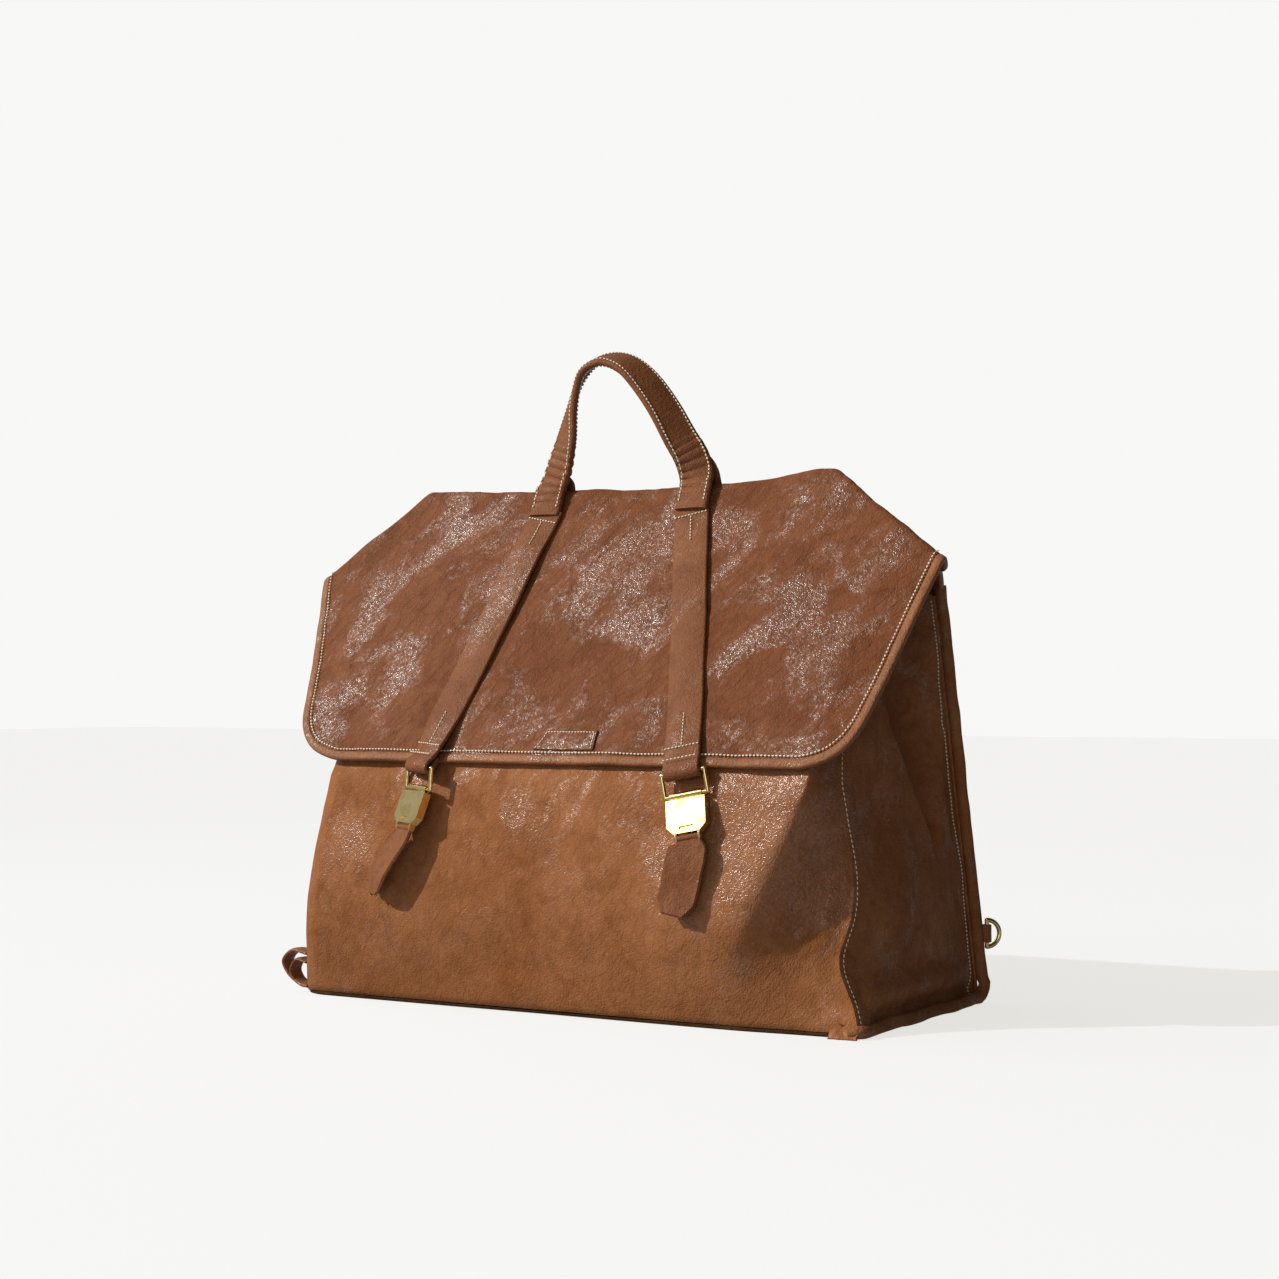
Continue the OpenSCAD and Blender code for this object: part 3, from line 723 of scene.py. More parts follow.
def pocket():
    half_w, low, high = 88, 88, 228
    u, z = np.meshgrid(np.linspace(-1, 1, 40), np.linspace(low, high, 30))
    belly = 5 * np.cos(u * math.pi / 2) * np.sin(math.pi * (z - low) / (high - low)) ** 0.7
    y = back_y(z) - 5.4 - belly - 0.4 * wall_noise.at(xyz(u * 4, z / 20, 0))
    return leather_sheet(xyz(u * half_w, y, z), 0.9, (0, -1, 0))


add_mesh("slip_pocket", *pocket(), "body", "lining_fabric", TWILL, ["inner_pocket"])


def mouth_edge():
    """The bound rim of the mouth, a closed run over the four panels' top edges."""
    top = [front_grid[-1], side_grid["right"][-1], back_grid[-1][::-1], side_grid["left"][-1][::-1]]
    ring = resample(np.concatenate([top[0], top[1][2:], top[2][2:], top[3][2:-1], top[0][:1]]), step=4.0)[:-1]
    for _ in range(3):
        ring = (np.roll(ring, 1, 0) + 2 * ring + np.roll(ring, -1, 0)) / 4
    side = unit(np.cross(tangents(ring, True), (0, 0, 1)))
    path = ring - side * 1.4 + (0, 0, -0.6)
    return sweep(path, side, oval_section(6.2, 5.6), closed=True)


add_mesh("mouth_edge", *mouth_edge(), "body", "edge_leather", EDGE_LEATHER, ["mouth_binding"])

# Piping down the back corners and along the bottom of the sides, with its stitches
WELT_R, BEND_R = 4.2, 13
body_stitches = []
for name, side in SIDES.items():
    grid = side_grid[name]
    rise = [(side * (back_half(z) + 2.8), back_y(z) + 1.6, z) for z in np.linspace(MOUTH_Z + 7, 18, 60)]
    bend = [(side * (BACK_HALF + 3.0), HALF_D + 0.6 - BEND_R * (1 - math.cos(a)), 17.5 - BEND_R * math.sin(a))
            for a in angles(15, 91, 15)]
    seam_column = -1 if side > 0 else 0
    corner_x, corner_y = side * front_grid[0, seam_column, 0] + 1.8, grid[0, 0, 1] + 5
    y_run = np.linspace(HALF_D - 14, corner_y, 40)
    run = [(side * mix(BACK_HALF + 2.2, corner_x, k / 39), y, 4.6 + 0.5 * math.sin(y / 11))
           for k, y in enumerate(y_run)]
    hook = [(side * (corner_x - 9 * (1 - math.cos(a))), corner_y - 7 * math.sin(a), 4.4)
            for a in angles(15, 81, 13)]
    path = resample(np.array(rise + bend + run + hook), step=3.0)
    path = path + 0.35 * wall_noise.at(path / 22)[:, None]
    thick = WELT_R * (1 + 0.07 * wall_noise.at(path / 15 + 5))
    ring = round_section(1.0, 12)[None] * thick[:, None, None]
    add_mesh(f"piping_{name}", *sweep(path, (1, 0, 0.01), ring), "body", "edge_leather", BODY_LEATHER,
             [f"welt_{name}"])
    bvh = tree(grid)
    outward = (side, 0, 0)
    for line in (grid[6:-2, -7], grid[4, 4:-8]):
        body_stitches += stitches_on(bvh, line, outward)
    seam = mix(front_grid[8:-6, seam_column], grid[8:-6, 2], 0.9)
    body_stitches += stitches_on(bvh, seam, outward, radius=0.42, pitch=3.4)
add_mesh("body_stitching", *merge(body_stitches), "body", "edge_leather", THREAD)


# ---- the flap: one hood of front slope, rounded ridge, rear slope and two wings ----

hinge_point, _ = joint_place("flap_open")
handle_point, _ = joint_place("handle_tilt")
binding_lo, binding_hi = node_box("flap_binding")
RIDGE = np.array([0, handle_point[1], handle_point[2] - 5.5])
HEM_Y, HEM_Z = binding_lo[1] + 1.2, binding_lo[2] + 1.0
SHOULDER_HALF = binding_hi[0] + 4.5
SHOULDER_Z = 310
RIDGE_HALF, HEM_HALF, SEAM_HALF = 168, 216, 205
HEM_R = 30
HOOD_T = 2.8
SLOPE_ROWS, REAR_ROWS = 74, 66
slope = np.array([0, HEM_Y - RIDGE[1], HEM_Z - RIDGE[2]])
SLOPE_LEN = np.linalg.norm(slope)
DOWN = slope / SLOPE_LEN
OUT = np.array([0, DOWN[2], -DOWN[1]])
SHOULDER_S = (RIDGE[2] - SHOULDER_Z) / -DOWN[2]
hood_noise = Noise(29)


def roof(x, s, lift=0.0):
    """A point of the flap's front plane: x across, s down the slope from the ridge."""
    x, s = np.broadcast_arrays(np.asarray(x, float), np.asarray(s, float))
    p = RIDGE + s[..., None] * DOWN + np.asarray(lift)[..., None] * OUT
    p[..., 0] = x
    return p


def hood_grid(columns=281):
    rows = []
    # front slope from the hem up to the shoulder corners
    for s in np.linspace(SLOPE_LEN, SHOULDER_S, SLOPE_ROWS):
        half = mix(SHOULDER_HALF, HEM_HALF, (s - SHOULDER_S) / (SLOPE_LEN - SHOULDER_S))
        past = max(0.0, s - (SLOPE_LEN - HEM_R))
        half -= HEM_R - math.sqrt(max(HEM_R ** 2 - past ** 2, 0))
        x = np.linspace(-half, half, columns)
        droop = 0.6 * (1 - np.clip(np.abs(x) / 200, 0, 1) ** 2) * smooth(90, SLOPE_LEN, s)
        curl = -6 * smooth(0.84, 1.0, np.abs(x) / half) * smooth(SLOPE_LEN, SHOULDER_S, s)
        rows.append(roof(x, s + droop, curl))
    # from the shoulder corners over the ridge and back down to the seam
    corner = np.array([SHOULDER_HALF, *(roof(0, SHOULDER_S)[1:])])
    seam_end = np.array([SEAM_HALF, hinge_point[1], hinge_point[2] + 1.5])
    for t in np.linspace(0, 1, REAR_ROWS)[1:]:
        if t < 0.5:
            inner = roof(mix(SHOULDER_HALF, RIDGE_HALF, 2 * t), SHOULDER_S * (1 - 2 * t))
        else:
            inner = mix(np.array([RIDGE_HALF, RIDGE[1], RIDGE[2]]), seam_end, 2 * t - 1)
        outer = mix(corner, seam_end, t) + np.array([1, 0, -2.0]) * 4 * math.sin(math.pi * t)
        sag = 2.5 * math.sin(math.pi * t)
        middle = np.array([0, inner[1], inner[2] - sag * 0.6])
        line = [outer * (-1, 1, 1), inner * (-1, 1, 1), middle, inner, outer]
        row = resample(np.array(line), count=columns)
        curl = -6 * smooth(0.84, 1.0, np.abs(row[:, 0]) / SHOULDER_HALF) * (1 - smooth(0, 0.45, t))
        rows.append(row + curl[:, None] * OUT)
    grid = np.array(rows)
    at_ridge = hill(np.arange(len(grid)), SLOPE_ROWS + REAR_ROWS / 2 - 1, 12)[:, None]
    grid[..., 2] += 5 * at_ridge * np.abs(grid[..., 0] / RIDGE_HALF) ** 2
    grid[..., 0] -= 3.5 * at_ridge
    for _ in range(4):
        grid[1:-1] = grid[1:-1] * 0.5 + 0.25 * (grid[:-2] + grid[2:])
        grid[:, 1:-1] = grid[:, 1:-1] * 0.5 + 0.25 * (grid[:, :-2] + grid[:, 2:])
    return grid


FRONT_ROWS = 70


def hood_surface():
    """The hood with its waves and wrinkles, which run along the leather's streaks."""
    grid = hood_grid()
    normal, _ = outer_normals(grid, OUT, FRONT_ROWS)
    streak = unit(STREAK)
    across = unit(np.cross(streak, OUT))
    a, b = grid @ streak, grid @ across
    slow, mid, quick = (xyz(a / along, b / wide, grid[..., 1] / deep)
                        for along, wide, deep in ((95, 60, 90), (40, 15, 30), (20, 7.5, 14)))
    lift = 2.3 * hood_noise.sum(slow, 2) + 0.62 * hood_noise.sum(mid, 2) + 0.2 * hood_noise.sum(quick + 5, 2)
    m = len(grid)
    last = 1 - smooth(m - 14, m - 1, np.arange(m))[:, None]
    return grid + normal * (lift * last)[..., None]


hood = hood_surface()
hood_tree = tree(hood)
add_mesh("hood", *leather_sheet(hood, HOOD_T, OUT + (0, 0.2, 0.4)), "flap", "flap_leather", FLAP_LEATHER,
         ["flap_front", "flap_rear"])


def hood_edge(grid):
    """The hood's free edge from the left seam end round the hem to the right seam end."""
    return np.concatenate([grid[::-1, 0], grid[0, 1:-1], grid[:, -1]])


hood_normals, _ = outer_normals(hood, OUT, FRONT_ROWS)
edge = resample(np.hstack([hood_edge(hood), hood_edge(hood_normals)]), step=2.6)
relax(edge[:, 3:], 6)
relax(edge[:, :3], 2)
edge, edge_normals = edge[:, :3], unit(edge[:, 3:])
edge_out = unit(np.cross(tangents(edge), edge_normals))
if edge_out[len(edge) // 2] @ DOWN < 0:
    edge_out = -edge_out
BINDING_W, BINDING_T = 6.6, 4.6
binding_path = edge - edge_out * (BINDING_W / 2 - 2.2) - edge_normals * 1.3
add_mesh("hood_binding", *sweep(binding_path, edge_out, oval_section(BINDING_W, BINDING_T, 18, 0.62)), "flap",
         "edge_leather", EDGE_LEATHER, ["flap_binding"])
stitch_path, stitch_normals = on_surface(hood_tree, (edge - edge_out * 5.8)[6:-6], OUT, 0.75)
flap_stitches = stitch_run(stitch_path, stitch_normals)


def flap_under():
    inner = (hood - hood_normals * (HOOD_T + 0.5))[5:68:2, 14:-14:3]
    return leather_sheet(inner, 0.8, OUT)


add_mesh("hood_lining", *flap_under(), "flap", "lining_fabric", TWILL, ["flap_lining"])


def badge_patch():
    """A blank stitched patch at the hem: three straight sides and one slanted one."""
    left, right = -9, 31
    top = SLOPE_LEN - 21.5
    low = SLOPE_LEN - 7.5
    rows = []
    for v in np.linspace(0, 1, 12):
        s = mix(low, top, v)
        start = left - 8 * (1 - v) ** 1.2
        x = np.linspace(start, right, 30)
        rows.append(on_surface(hood_tree, roof(x, s), OUT, 1.5)[0])
    return np.array(rows)


badge_grid = badge_patch()
add_mesh("hem_patch", *leather_sheet(badge_grid, 1.4, OUT), "flap", "edge_leather", FLAP_LEATHER, ["badge"])
patch_tree = tree(badge_grid)
outline = np.concatenate([badge_grid[1:-2, 1], badge_grid[-2, 1:-2], badge_grid[-2:0:-1, -2]])
flap_stitches += stitches_on(patch_tree, outline, OUT, pitch=2.4, radius=0.45)

# Straps, with loops round the rings
STRAP_W, STRAP_T = 26.0, 3.0
STRAP_TOP_X, STRAP_TOP_S, STRAP_LOW_X = 59.8, 22.5, 103.5
LOOP_R = 3.1
STRAP_LEN = SLOPE_LEN - STRAP_TOP_S
for name, side in SIDES.items():
    ring_at, ring_axis = joint_place(f"ring_swing_{name}")
    bar = ring_axis * np.sign(ring_axis[0])
    start_bar = unit(np.array([1, 0, 0]) - side * (STRAP_LOW_X - STRAP_TOP_X) / STRAP_LEN * DOWN)
    s_values = np.linspace(STRAP_TOP_S - 2, SLOPE_LEN - 2, 60)
    x_values = mix(STRAP_TOP_X, STRAP_LOW_X, (s_values - STRAP_TOP_S) / STRAP_LEN) * side
    top, _ = on_surface(hood_tree, roof(x_values, s_values), OUT, STRAP_T / 2 + 0.5)
    extra = 1.6 * smooth(SLOPE_LEN - 22, SLOPE_LEN - 6, s_values) + 0.6 * np.sin(s_values / 31 + side)
    top = top + OUT * extra[:, None]
    relax(top, 6)
    to_top = top[-1] - ring_at
    hang = towards(unit(np.cross(bar, unit(np.cross(to_top, bar)))), to_top)
    front = towards(unit(np.cross(bar, hang)), OUT)
    down_to = ring_at + front * LOOP_R + hang * 2
    turn = [ring_at + LOOP_R * (front * math.cos(a) - hang * math.sin(a))
            for a in angles(0, 181, 20)]
    behind = [ring_at - front * (LOOP_R + 0.2) + hang * d for d in (3, 6, 9)]
    path = np.concatenate([top, [down_to], turn, behind])
    share = smooth(48, 60, np.arange(len(path)))[:, None]
    across = unit(mix(start_bar, bar, share))
    fine = resample(np.hstack([path, across]), step=1.6)
    section = strap_section(STRAP_W, STRAP_T)
    add_mesh(f"strap_leather_{name}", *sweep(fine[:, :3], fine[:, 3:], section), "flap", "strap_leather",
             STRAP_LEATHER, [f"strap_{name}"])
    strap_front = np.cross(across[0], unit(path[1] - path[0]))
    sign = 1 if strap_front @ OUT > 0 else -1

    def on_strap(s_share, offset):
        """A point on the strap's face at a share of its visible length, offset across it."""
        k = s_share * 59
        i = int(min(k, 58))
        p = mix(top[i], top[i + 1], k - i)
        a = unit(mix(across[i], across[i + 1], k - i))
        n = unit(np.cross(a, unit(top[i + 1] - top[i]))) * sign
        return p + a * offset + n * (STRAP_T / 2 + 0.25), n

    def strap_line(points, **how):
        places, normals = zip(*[on_strap(*q) for q in points])
        return stitch_run(np.array(places), np.array(normals), **how)

    # a T of stitches at each end of the strap: the cross-bar, the stem, the stem, the cross-bar
    for shares, reach, radius in (((0.045,) * 3, 11.5, 0.5), ((0.055, 0.10, 0.145), 0, 0.5),
                                  ((0.84, 0.90, 0.955), 0, 0.45), ((0.965,) * 3, 11.5, 0.5)):
        flap_stitches += strap_line(list(zip(shares, (-reach, 0, reach))), radius=radius)
    cross = [ring_at + hang * 8.5 + bar * k + front * (LOOP_R + STRAP_T / 2 + 0.4) for k in (-11, 0, 11)]
    flap_stitches += stitch_run(np.array(cross), np.array([front] * 3), radius=0.5)
add_mesh("flap_stitching", *merge(flap_stitches), "flap", "edge_leather", THREAD)


# ---- the seam that the flap swings on ----

def hinge_strip():
    """A leather strip over the seam; its curve is (back, up) from the hinge."""
    rows = []
    curve = [(-1.2, -14), (0.9, -9), (2.6, -3), (3.2, 1.5), (2.2, 6), (-0.6, 10), (-4.6, 14)]
    for dy, dz in curve_through(curve, 4):
        x = np.linspace(-SEAM_HALF + 2, SEAM_HALF - 2, 90)
        ripple = 0.35 * np.sin(x / 17) + 0.25 * hood_noise.at(xyz(x / 14, dz / 10, 0))
        rows.append(xyz(x, hinge_point[1] + dy + ripple, hinge_point[2] + dz))
    return leather_sheet(np.array(rows), 1.6, (0, 1, 0.2))


strip = add_mesh("hinge_strip", *hinge_strip(), "body", "edge_leather", BODY_LEATHER, ride=False)
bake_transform(strip)


# ---- the handle ----

BAND_W, BAND_T = 25.0, 5.0
FOOT_X, LINE_STEP = 60.8, 1.1
# centre (x, y, z from the handle's pivot) and facing of the band, from the right foot over to the left
ARCH = [
    (58.8, -4.0, 0.5, 0.25, -0.88, 0.30), (54.5, -4.5, 12.5, 0.42, -0.82, 0.30),
    (46.6, -5.0, 25.0, 0.55, -0.72, 0.38), (33.8, -5.5, 46.5, 0.60, -0.62, 0.50),
    (20.4, -6.0, 64.5, 0.52, -0.55, 0.64), (6.9, -6.0, 77.5, 0.30, -0.42, 0.84),
    (-7.5, -5.0, 84.0, 0.0, -0.34, 0.94), (-20.5, -5.0, 84.0, -0.30, -0.33, 0.88),
    (-32.5, -4.0, 78.0, -0.62, -0.38, 0.68), (-40.5, -3.0, 66.0, -0.76, -0.52, 0.38),
    (-45.0, -3.0, 50.0, -0.70, -0.64, 0.25), (-49.5, -3.0, 29.0, -0.44, -0.84, 0.22),
    (-55.0, -3.0, 10.0, -0.22, -0.92, 0.20), (-58.5, -4.0, -1.0, -0.15, -0.90, 0.30)]


def handle_line():
    """The band's centre line with its facing, from foot to foot, wrinkled near the feet."""
    keys = []
    for side in (1, -1):
        foot = []
        for s in (25.5, 14.5, 6.0):
            p = roof(side * (FOOT_X - 0.02 * (26 - s)), s, 3.4 + 0.07 * (26 - s))
            foot.append([*p, *OUT])
        keys.append(foot)
    arch = [[x, handle_point[1] + y, handle_point[2] + z, a, b, c] for x, y, z, a, b, c in ARCH]
    line = resample(curve_through(np.array(keys[0] + arch + keys[1][::-1]), 10), step=LINE_STEP)
    place, facing = line[:, :3], unit(line[:, 3:])
    s = np.arange(len(place)) * LINE_STEP
    from_end = np.minimum(s, s[-1] - s)
    left = np.arange(len(s)) > len(s) / 2
    strength = smooth(4, 14, from_end) * (1 - smooth(44, 62, from_end)) * np.where(left, 0.75, 0.45)
    crumple = strength * np.sin(from_end * 2 * math.pi / 6.4 + 0.9 * np.sin(from_end / 9))
    return place + facing * crumple[:, None], facing


def bend_with_handle(obj):
    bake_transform(obj)


arch_line, arch_facing = handle_line()
arch_across = unit(np.cross(tangents(arch_line), arch_facing))
handle_band = add_mesh("handle_strap", *sweep(arch_line, arch_across, strap_section(BAND_W, BAND_T, 0.5)),
                       "handle", "strap_leather", STRAP_LEATHER,
                       ["handle_band", "handle_foot_left", "handle_foot_right"], ride=False)
bend_with_handle(handle_band)

handle_stitches = []
for offset in (-BAND_W / 2 + 2.6, BAND_W / 2 - 2.6):
    for lift in (1, -1):
        run = slice(6, -6) if lift > 0 else slice(34, -34)
        place = arch_line + arch_across * offset + arch_facing * (BAND_T / 2 + 0.12) * lift
        handle_stitches += stitch_run(place[run], lift * arch_facing[run], pitch=3.0)
seams = add_mesh("handle_stitching", *merge(handle_stitches), "handle", "strap_leather", THREAD, ride=False)
bend_with_handle(seams)

middle = slice(34, -34)
core = add_mesh("handle_cord", *sweep(arch_line[middle], arch_across[middle], oval_section(14, 2.2)), "handle",
                "cord_core", TWILL, ["handle_core"], ride=False)
bend_with_handle(core)

REAR_DOWN = unit((0, hinge_point[1] - RIDGE[1], hinge_point[2] - RIDGE[2]))
REAR_OUT = np.array([0, -REAR_DOWN[2], REAR_DOWN[1]])
rear_legs = []
for side in (1, -1):
    roof_part = [[side * FOOT_X, *(RIDGE + REAR_DOWN * s + REAR_OUT * 3.0)[1:], *REAR_OUT] for s in (26, 17, 9)]
    half_way = [k for k in range(len(arch_line)) if (k < len(arch_line) / 2) == (side > 0)]
    spot = min(half_way, key=lambda k: abs(arch_line[k, 2] - handle_point[2] - 17))
    top = arch_line[spot] - arch_facing[spot] * (BAND_T / 2 - 0.2)
    between = [[side * 60.2, handle_point[1] + 5.5, handle_point[2] - 0.5, 0, 0.9, 0.3],
               [side * 58.0, handle_point[1] + 2.2, handle_point[2] + 7.5, side * -0.2, 0.9, 0.1]]
    line = curve_through(np.array(roof_part + between + [[*top, *-arch_facing[spot]]]), 8)
    taper = 1 - 0.45 * smooth(0.55, 1.0, np.linspace(0, 1, len(line)))
    section = strap_section(BAND_W - 1, 2.4)[None] * np.stack([taper, 0 * taper + 1], 1)[:, None]
    rear_legs.append(sweep(line[:, :3], np.cross(tangents(line[:, :3]), unit(line[:, 3:])), section))
legs = add_mesh("handle_rear_legs", *merge(rear_legs), "handle", "strap_leather", STRAP_LEATHER, ride=False)
bend_with_handle(legs)


# ---- closures ----

CASE_W, CASE_H, CASE_T = 28.0, 27.0, 6.0
EAR_R = 2.3


def case_mesh(place):
    """Brass case: a chamfered plate with a slot near its lower edge, rolled over the ring's bar."""
    w, cut, low, top, z = CASE_W / 2, 4.6, -CASE_H + 1, -2.8, CASE_T / 2
    outline = [(-w, top), (w, top), (w, low + cut), (w - cut, low), (-w + cut, low), (-w, low + cut)]
    slot = [(-5, low + 4.6), (5, low + 4.6), (5, low + 2.6), (-5, low + 2.6)]
    verts = [(x, y, z) for x, y in outline + slot] + [(x, y, z - 1.1) for x, y in slot]
    verts += [(x, y, -z + 0.1) for x, y in outline]
    faces = [(0, 6, 7, 1), (1, 7, 8, 3, 2), (3, 8, 9, 4), (4, 9, 6, 0, 5)]
    faces += [(6, 10, 11, 7), (7, 11, 12, 8), (8, 12, 13, 9), (9, 13, 10, 6), (10, 13, 12, 11)]
    faces += band(0, 14, 6) + [tuple(range(14, 20))]
    verts = np.array(verts)
    parts = [(verts, faces)]
    lug_w = 23.0
    spiral = [2.15 * np.array([0, math.cos(a), math.sin(a)]) for a in angles(-150, 151, 15)]
    shell = [np.array([0, -3.4, -1.5])] + spiral + [np.array([0, -3.4, 1.5])]
    outer, inner = ([p + half_t * unit(p) for p in shell] for half_t in (0.45, -0.45))
    ring = outer + inner[::-1]
    n = len(ring)
    lug = np.array([p + (x, 0, 0) for x in (-lug_w / 2, lug_w / 2) for p in ring])
    lug_faces = band(0, n, n)
    m = len(outer)
    for base, flip in ((0, False), (n, True)):
        for k in range(m - 1):
            f = (base + k, base + n - 1 - k, base + n - 2 - k, base + k + 1)
            lug_faces.append(f[::-1] if flip else f)
    parts.append((lug, lug_faces))
    for x in (-CASE_W / 2 + 5, CASE_W / 2 - 6.5):
        ear = [(x, -CASE_H - 1.6 - EAR_R * math.sin(a), EAR_R * math.cos(a))
               for a in angles(0, 181, 20)]
        ear += [(x, low + 0.6, -EAR_R), (x, low + 0.6, EAR_R)]
        k = len(ear)
        pts = np.array(ear + [(x + 1.5, b, c) for _, b, c in ear])
        parts.append((pts, band(0, k, k) + [tuple(range(k))[::-1], tuple(range(k, 2 * k))]))
    v, f = merge(parts)
    return v @ place[:3, :3].T + place[:3, 3], f


def frame_at(origin, x_axis, down):
    """A frame with X along a hinge, Y up the piece and Z outwards."""
    up = -np.asarray(down, float)
    x = unit(x_axis)
    y = unit(up - x * (up @ x))
    m = np.eye(4)
    m[:3, 0], m[:3, 1], m[:3, 2], m[:3, 3] = x, y, np.cross(x, y), origin
    return m


def tab_grid(length, tip_bend, turn, roll, seed, half_width=13.2, rounded=False):
    """A pull tab along -Y: narrow at the pin, turned in its own plane, with an eight-sided or a rounded tip."""
    neck = 4.0
    c, w = math.cos(math.radians(turn)), math.sin(math.radians(turn))
    rows = []
    for v in np.linspace(1.8, length, 50):
        if rounded:
            past = max(0.0, v - (length - half_width)) / half_width
            half = np.interp(v, [0, 3.6, 9, 26], [8.2, 8.4, 9.4, half_width]) * math.sqrt(1.02 - past ** 2)
        else:
            half = np.interp(v, [0, 3.6, 6.5, 12, length - 8.5, length],
                             [8.2, 8.6, 12.2, half_width, 12.8, 7.4])
        u = np.linspace(-1, 1, 19)
        share = v / length
        z = 1.5 * math.sin(math.pi * share) - 1.0 * share + tip_bend * max(0.0, share - 0.62) ** 1.6 * 20
        z = z + 0.8 * u ** 2 * math.sin(math.pi * share) + 0.35 * hood_noise.at(xyz(u * 2, v / 9, seed))
        z = z + u * half * math.tan(math.radians(roll)) * smooth(0.1, 0.6, share)
        x, y = u * half, 0 * u - v
        bent = smooth(2, 10, v)
        tx, ty = x * c - (y + neck) * w, x * w + (y + neck) * c - neck
        rows.append(np.stack([mix(x, tx, bent), mix(y, ty, bent), z + 1.4], -1))
    return np.array(rows)


def bevelled(obj, width, segments=3):
    mod = obj.modifiers.new("edges", "BEVEL")
    mod.width, mod.segments, mod.limit_method = width * MM, segments, "ANGLE"
    mod.angle_limit = math.radians(40)
    mod.harden_normals = True
    return obj


front_tree = tree(front_grid)
TAB_GAP = 7.6
for name, side in SIDES.items():
    ring_at, ring_axis = joint_place(f"ring_swing_{name}")
    case_at, _ = joint_place(f"clasp_swing_{name}")
    tab_at, _ = joint_place(f"tab_bend_{name}")
    bar = ring_axis * np.sign(ring_axis[0])
    place = frame_at(case_at, bar, tab_at - case_at)
    bevelled(add_mesh(f"case_{name}", *case_mesh(place), f"clasp_{name}", "brass", BRASS,
                      [f"clasp_case_{name}"], sharp=30), 0.55)
    flat = tab_grid(50.5, 1.2, -22, 0, 4) if side > 0 else tab_grid(56, -0.5, -32, 4, 2, 10.6, True)
    tab_place = place.copy()
    tab_place[:3, 3] = tab_at
    # the tab leans towards the wall until it comes near
    for lean in angles(6, 34, 1.0):
        tab_place[:3, :3] = place[:3, :3] @ np.array(Matrix.Rotation(lean, 3, "X"))
        grid = flat @ tab_place[:3, :3].T + tab_at
        gaps = [front_tree.find_nearest(p)[3] for p in grid[18::4, ::6].reshape(-1, 3)]
        if min(gaps) < TAB_GAP:
            break
    verts, faces = leather_sheet(grid, 2.8, tab_place[:3, 2])
    eye_path = np.array([tab_at + bar * x for x in np.linspace(-7.9, 7.9, 6)])
    eye = sweep(eye_path, tab_place[:3, 2], round_section(2.15, 14))
    add_mesh(f"pull_tab_leather_{name}", *merge([(verts, faces), eye]), f"tab_{name}", "strap_leather",
             STRAP_LEATHER, [f"pull_tab_{name}"])
    strike_lo, strike_hi = node_box(f"strike_{name}")
    centre = (strike_lo + strike_hi) / 2
    spots, normals = on_surface(front_tree, [centre], (0, -1, 0), 0)
    rise = [spots[0] + normals[0] * lift for lift in (-0.5, 0.6)]
    disc = sweep(np.array(rise), (1, 0, 0), round_section(9.6, 40))
    bevelled(add_mesh(f"strike_plate_{name}", *disc, "body", "brass", BRASS, [f"strike_{name}"],
                      sharp=30), 0.35)


# ---- small pieces at the corners ----

for name, side in SIDES.items():
    anchor, _ = joint_place(f"dring_swing_{name}")
    out = unit((side, 1.0, 0))
    along = np.array([0, 0, 1.0])
    across = np.cross(out, along)
    leg = [(9.5, 1.6), (4, 1.9)]
    loop = [anchor - out * back + across * gap for back, gap in leg]
    loop += [anchor + 2.5 * (across * math.cos(a) + out * math.sin(a)) for a in angles(0, 181, 15)]
    loop += [anchor - out * back - across * gap for back, gap in leg[::-1]]
    path = resample(curve_through(loop, 4), step=0.9)
    add_mesh(f"dring_loop_{name}", *sweep(path, along, strap_section(12.6, 1.5, 0.1)), "body", "edge_leather",
             EDGE_LEATHER, [f"dring_tab_{name}"])


def left_ear():
    """The left seam's lip, curling out past the corner in two layers."""
    parts = []
    for lift, reach, thick in ((0.0, 20.0, 3.2), (-6.5, 13.0, 2.6)):
        curl = [(4, -96, 29 + lift), (-reach * 0.5, -95, 30.5 + lift), (-reach, -93, 22.5 + lift),
                (-reach * 0.8, -92, 13 + lift * 0.6), (-reach * 0.3, -92, 6.5 + lift * 0.2), (3, -93, 4.8)]
        line = curve_through([(-BASE_HALF + x, y, z) for x, y, z in curl])
        parts.append(sweep(line, (0, 1, 0), oval_section(13, thick)))
    return merge(parts)


def right_ear():
    """A frayed end of leather folded round the right corner at the floor."""
    foot = front_grid[4]
    rows = []
    for v in np.linspace(0, 1, 26):
        x = mix(202, foot[-1, 0] + 1.5, v)
        u = np.linspace(0, 1, 10)
        ragged = 1.3 * wall_noise.at(xyz(v * 7, u * 2, 3))
        top = 6.5 + 1.2 * math.sin(11 * v) + 2.5 * hill(v, 0.3, 0.2)
        y = np.interp(x, foot[:, 0], foot[:, 1]) - 2.6 - 3.5 * (1 - u) ** 2 + ragged * 0.5
        rows.append(xyz(x + ragged * 0.4, y, 0.8 + u * top))
    return leather_sheet(np.array(rows), 2.0, (0.4, -1, 0))


add_mesh("corner_ear_left", *left_ear(), "body", "edge_leather", EDGE_LEATHER, ["corner_tab_left"])
add_mesh("corner_ear_right", *right_ear(), "body", "edge_leather", BODY_LEATHER, ["corner_tab_right"])


# ---- finishes of the CAD nodes that still show ----

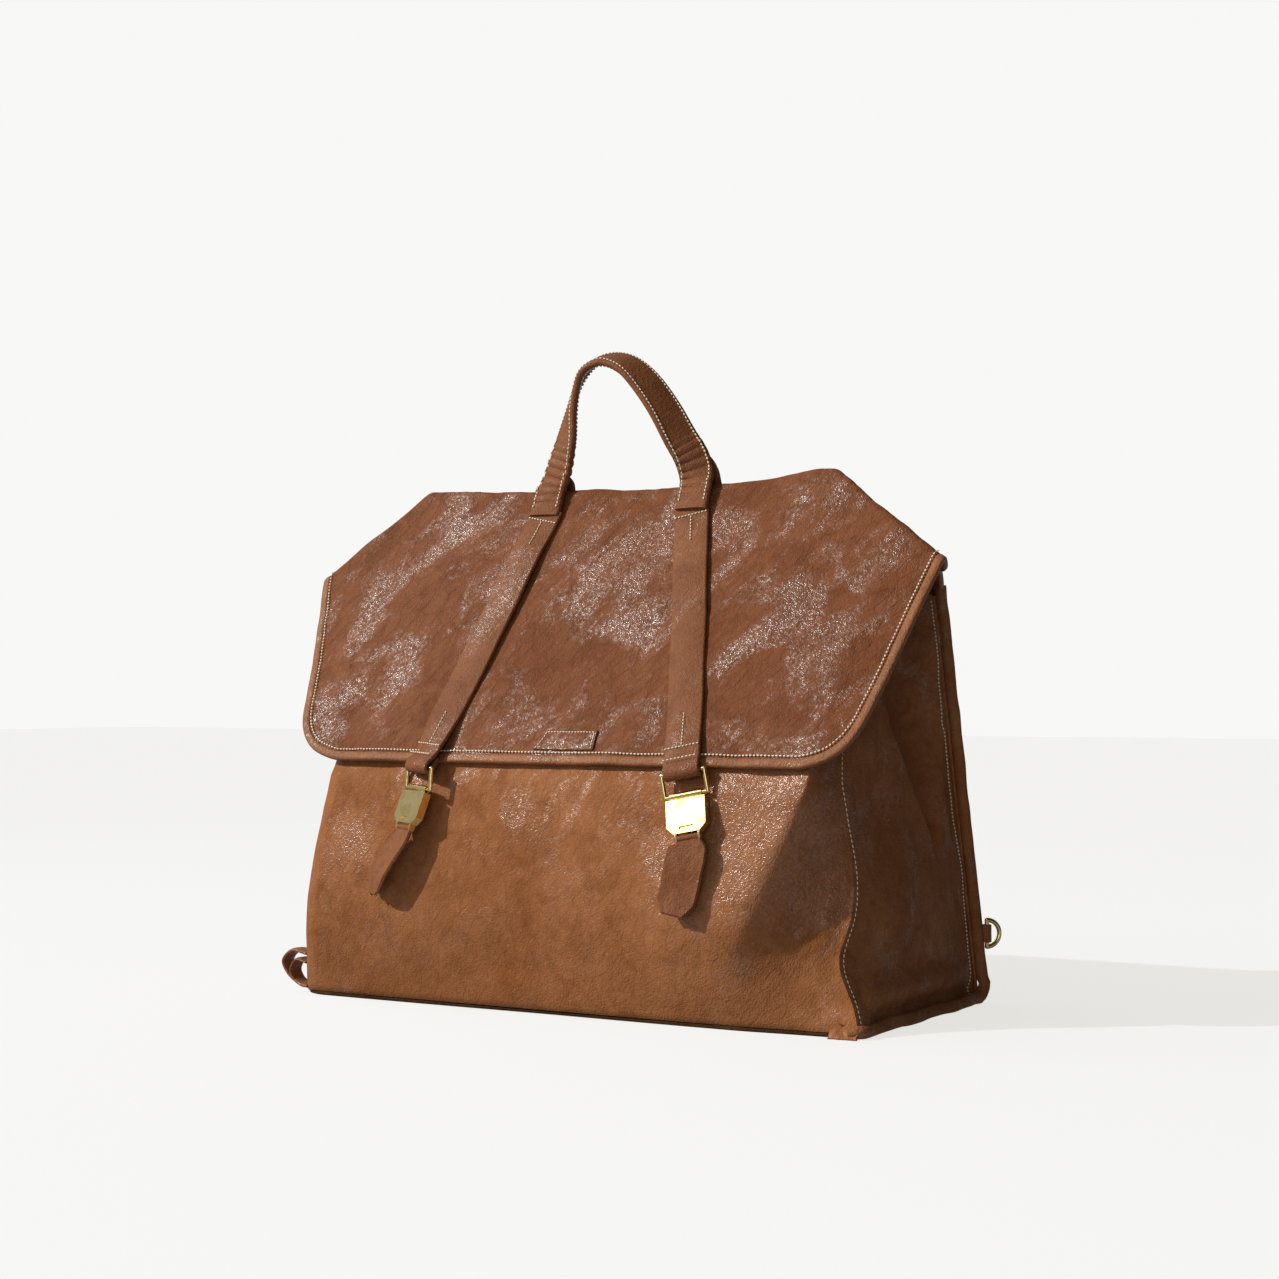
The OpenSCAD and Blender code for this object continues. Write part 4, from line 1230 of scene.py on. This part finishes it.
FINISH = {"brass": BRASS, "steel": STEEL, "board": BOARD, "lining_fabric": TWILL, "cord_core": TWILL,
          "body_leather": BODY_LEATHER, "flap_leather": FLAP_LEATHER, "strap_leather": STRAP_LEATHER,
          "edge_leather": EDGE_LEATHER}
for part in frame["record"]["subparts"]:
    obj = frame["nodes"][part["node"]]
    material = STRAP_LEATHER if part["node"] == "ridge_stay" else FINISH[part["material_slot"]]
    obj.data.materials.clear()
    obj.data.materials.append(material)


# ---- floor, light and camera ----

floor_mesh = bpy.data.meshes.new("floor")
floor_mesh.from_pydata([(-9, -9, 0), (9, -9, 0), (9, 9, 0), (-9, 9, 0)], [], [(0, 1, 2, 3)])
floor = bpy.data.objects.new("floor", floor_mesh)
bpy.context.scene.collection.objects.link(floor)
floor_material, net, shader = new_material("floor")
camera_ray = node(net, "LightPath")["Is Camera Ray"]
feed(net, shader, {"Base Color": (0.20, 0.215, 0.26), "Roughness": 1.0, "Specular IOR Level": 0.0,
                   "Emission Color": (1.0, 0.985, 0.93),
                   "Emission Strength": remap(net, camera_ray, 0, 1, 0.12, 0.75)})
floor_mesh.materials.append(floor_material)

world = bpy.data.worlds.new("world")
bpy.context.scene.world = world
world.use_nodes = True
net = world.node_tree
net.nodes.clear()
across_sky = node(net, "SeparateXYZ", {0: node(net, "TexCoord")["Generated"]})["X"]
side_light = remap(net, across_sky, -0.75, 0.6, 1.0, 0.0)
sky = mix_colour(net, side_light, (0.06, 0.06, 0.06), (0.72, 0.74, 0.78))
around = node(net, "Background", {"Color": sky, "Strength": 0.5})[0]
seen = node(net, "Background", {"Color": (0.939, 0.939, 0.922)})[0]
node(net, "OutputWorld", {"Surface": node(net, "MixShader", {
    0: node(net, "LightPath")["Is Camera Ray"], 1: around, 2: seen})[0]})


def aim(obj, target):
    back = obj.location - Vector(target)
    obj.rotation_euler = back.to_track_quat("Z", "Y").to_euler()


def lamp(name, kind, place, target, energy, colour, size):
    data = bpy.data.lights.new(name, kind)
    data.energy = energy
    data.color = colour
    if kind == "SUN":
        data.angle = math.radians(size)
    else:
        data.shape = "RECTANGLE"
        data.size, data.size_y = size
    obj = bpy.data.objects.new(name, data)
    bpy.context.scene.collection.objects.link(obj)
    obj.location = place
    aim(obj, target)


CENTRE = (0, 0, 0.2)
lamp("sun", "SUN", (-0.60, -0.58, 0.55), (0, 0, 0), 2.9, (1.0, 0.96, 0.90), 1.0)
lamp("fill", "AREA", (0.75, -1.9, 0.45), CENTRE, 5, (1.0, 0.97, 0.93), (1.0, 1.0))
lamp("softbox", "AREA", (-0.88, -1.46, 1.24), CENTRE, 4, (1.0, 0.98, 0.95), (0.5, 0.5))
lamp("sky_panel", "AREA", (-1.4, -0.2, 1.6), CENTRE, 5, (0.93, 0.96, 1.0), (1.2, 0.8))

camera_data = bpy.data.cameras.new("camera")
camera = bpy.data.objects.new("camera", camera_data)
bpy.context.scene.collection.objects.link(camera)
bpy.context.scene.camera = camera
TURN, TILT = math.radians(30.7), math.radians(-1.3)
DISTANCE, SHIFT, EYE_HEIGHT = 1.6321, 0.0022, 0.2196
camera.location = (SHIFT * math.cos(TURN) + math.sin(TURN) * DISTANCE,
                   SHIFT * math.sin(TURN) - math.cos(TURN) * DISTANCE, EYE_HEIGHT)
look = Vector((-math.sin(TURN) * math.cos(TILT), math.cos(TURN) * math.cos(TILT), -math.sin(TILT)))
camera.rotation_euler = look.to_track_quat("-Z", "Y").to_euler()
camera_data.sensor_width = 36
camera_data.lens = 64.0
camera_data.clip_start, camera_data.clip_end = 0.05, 50
bpy.context.scene.view_settings.view_transform = "Standard"
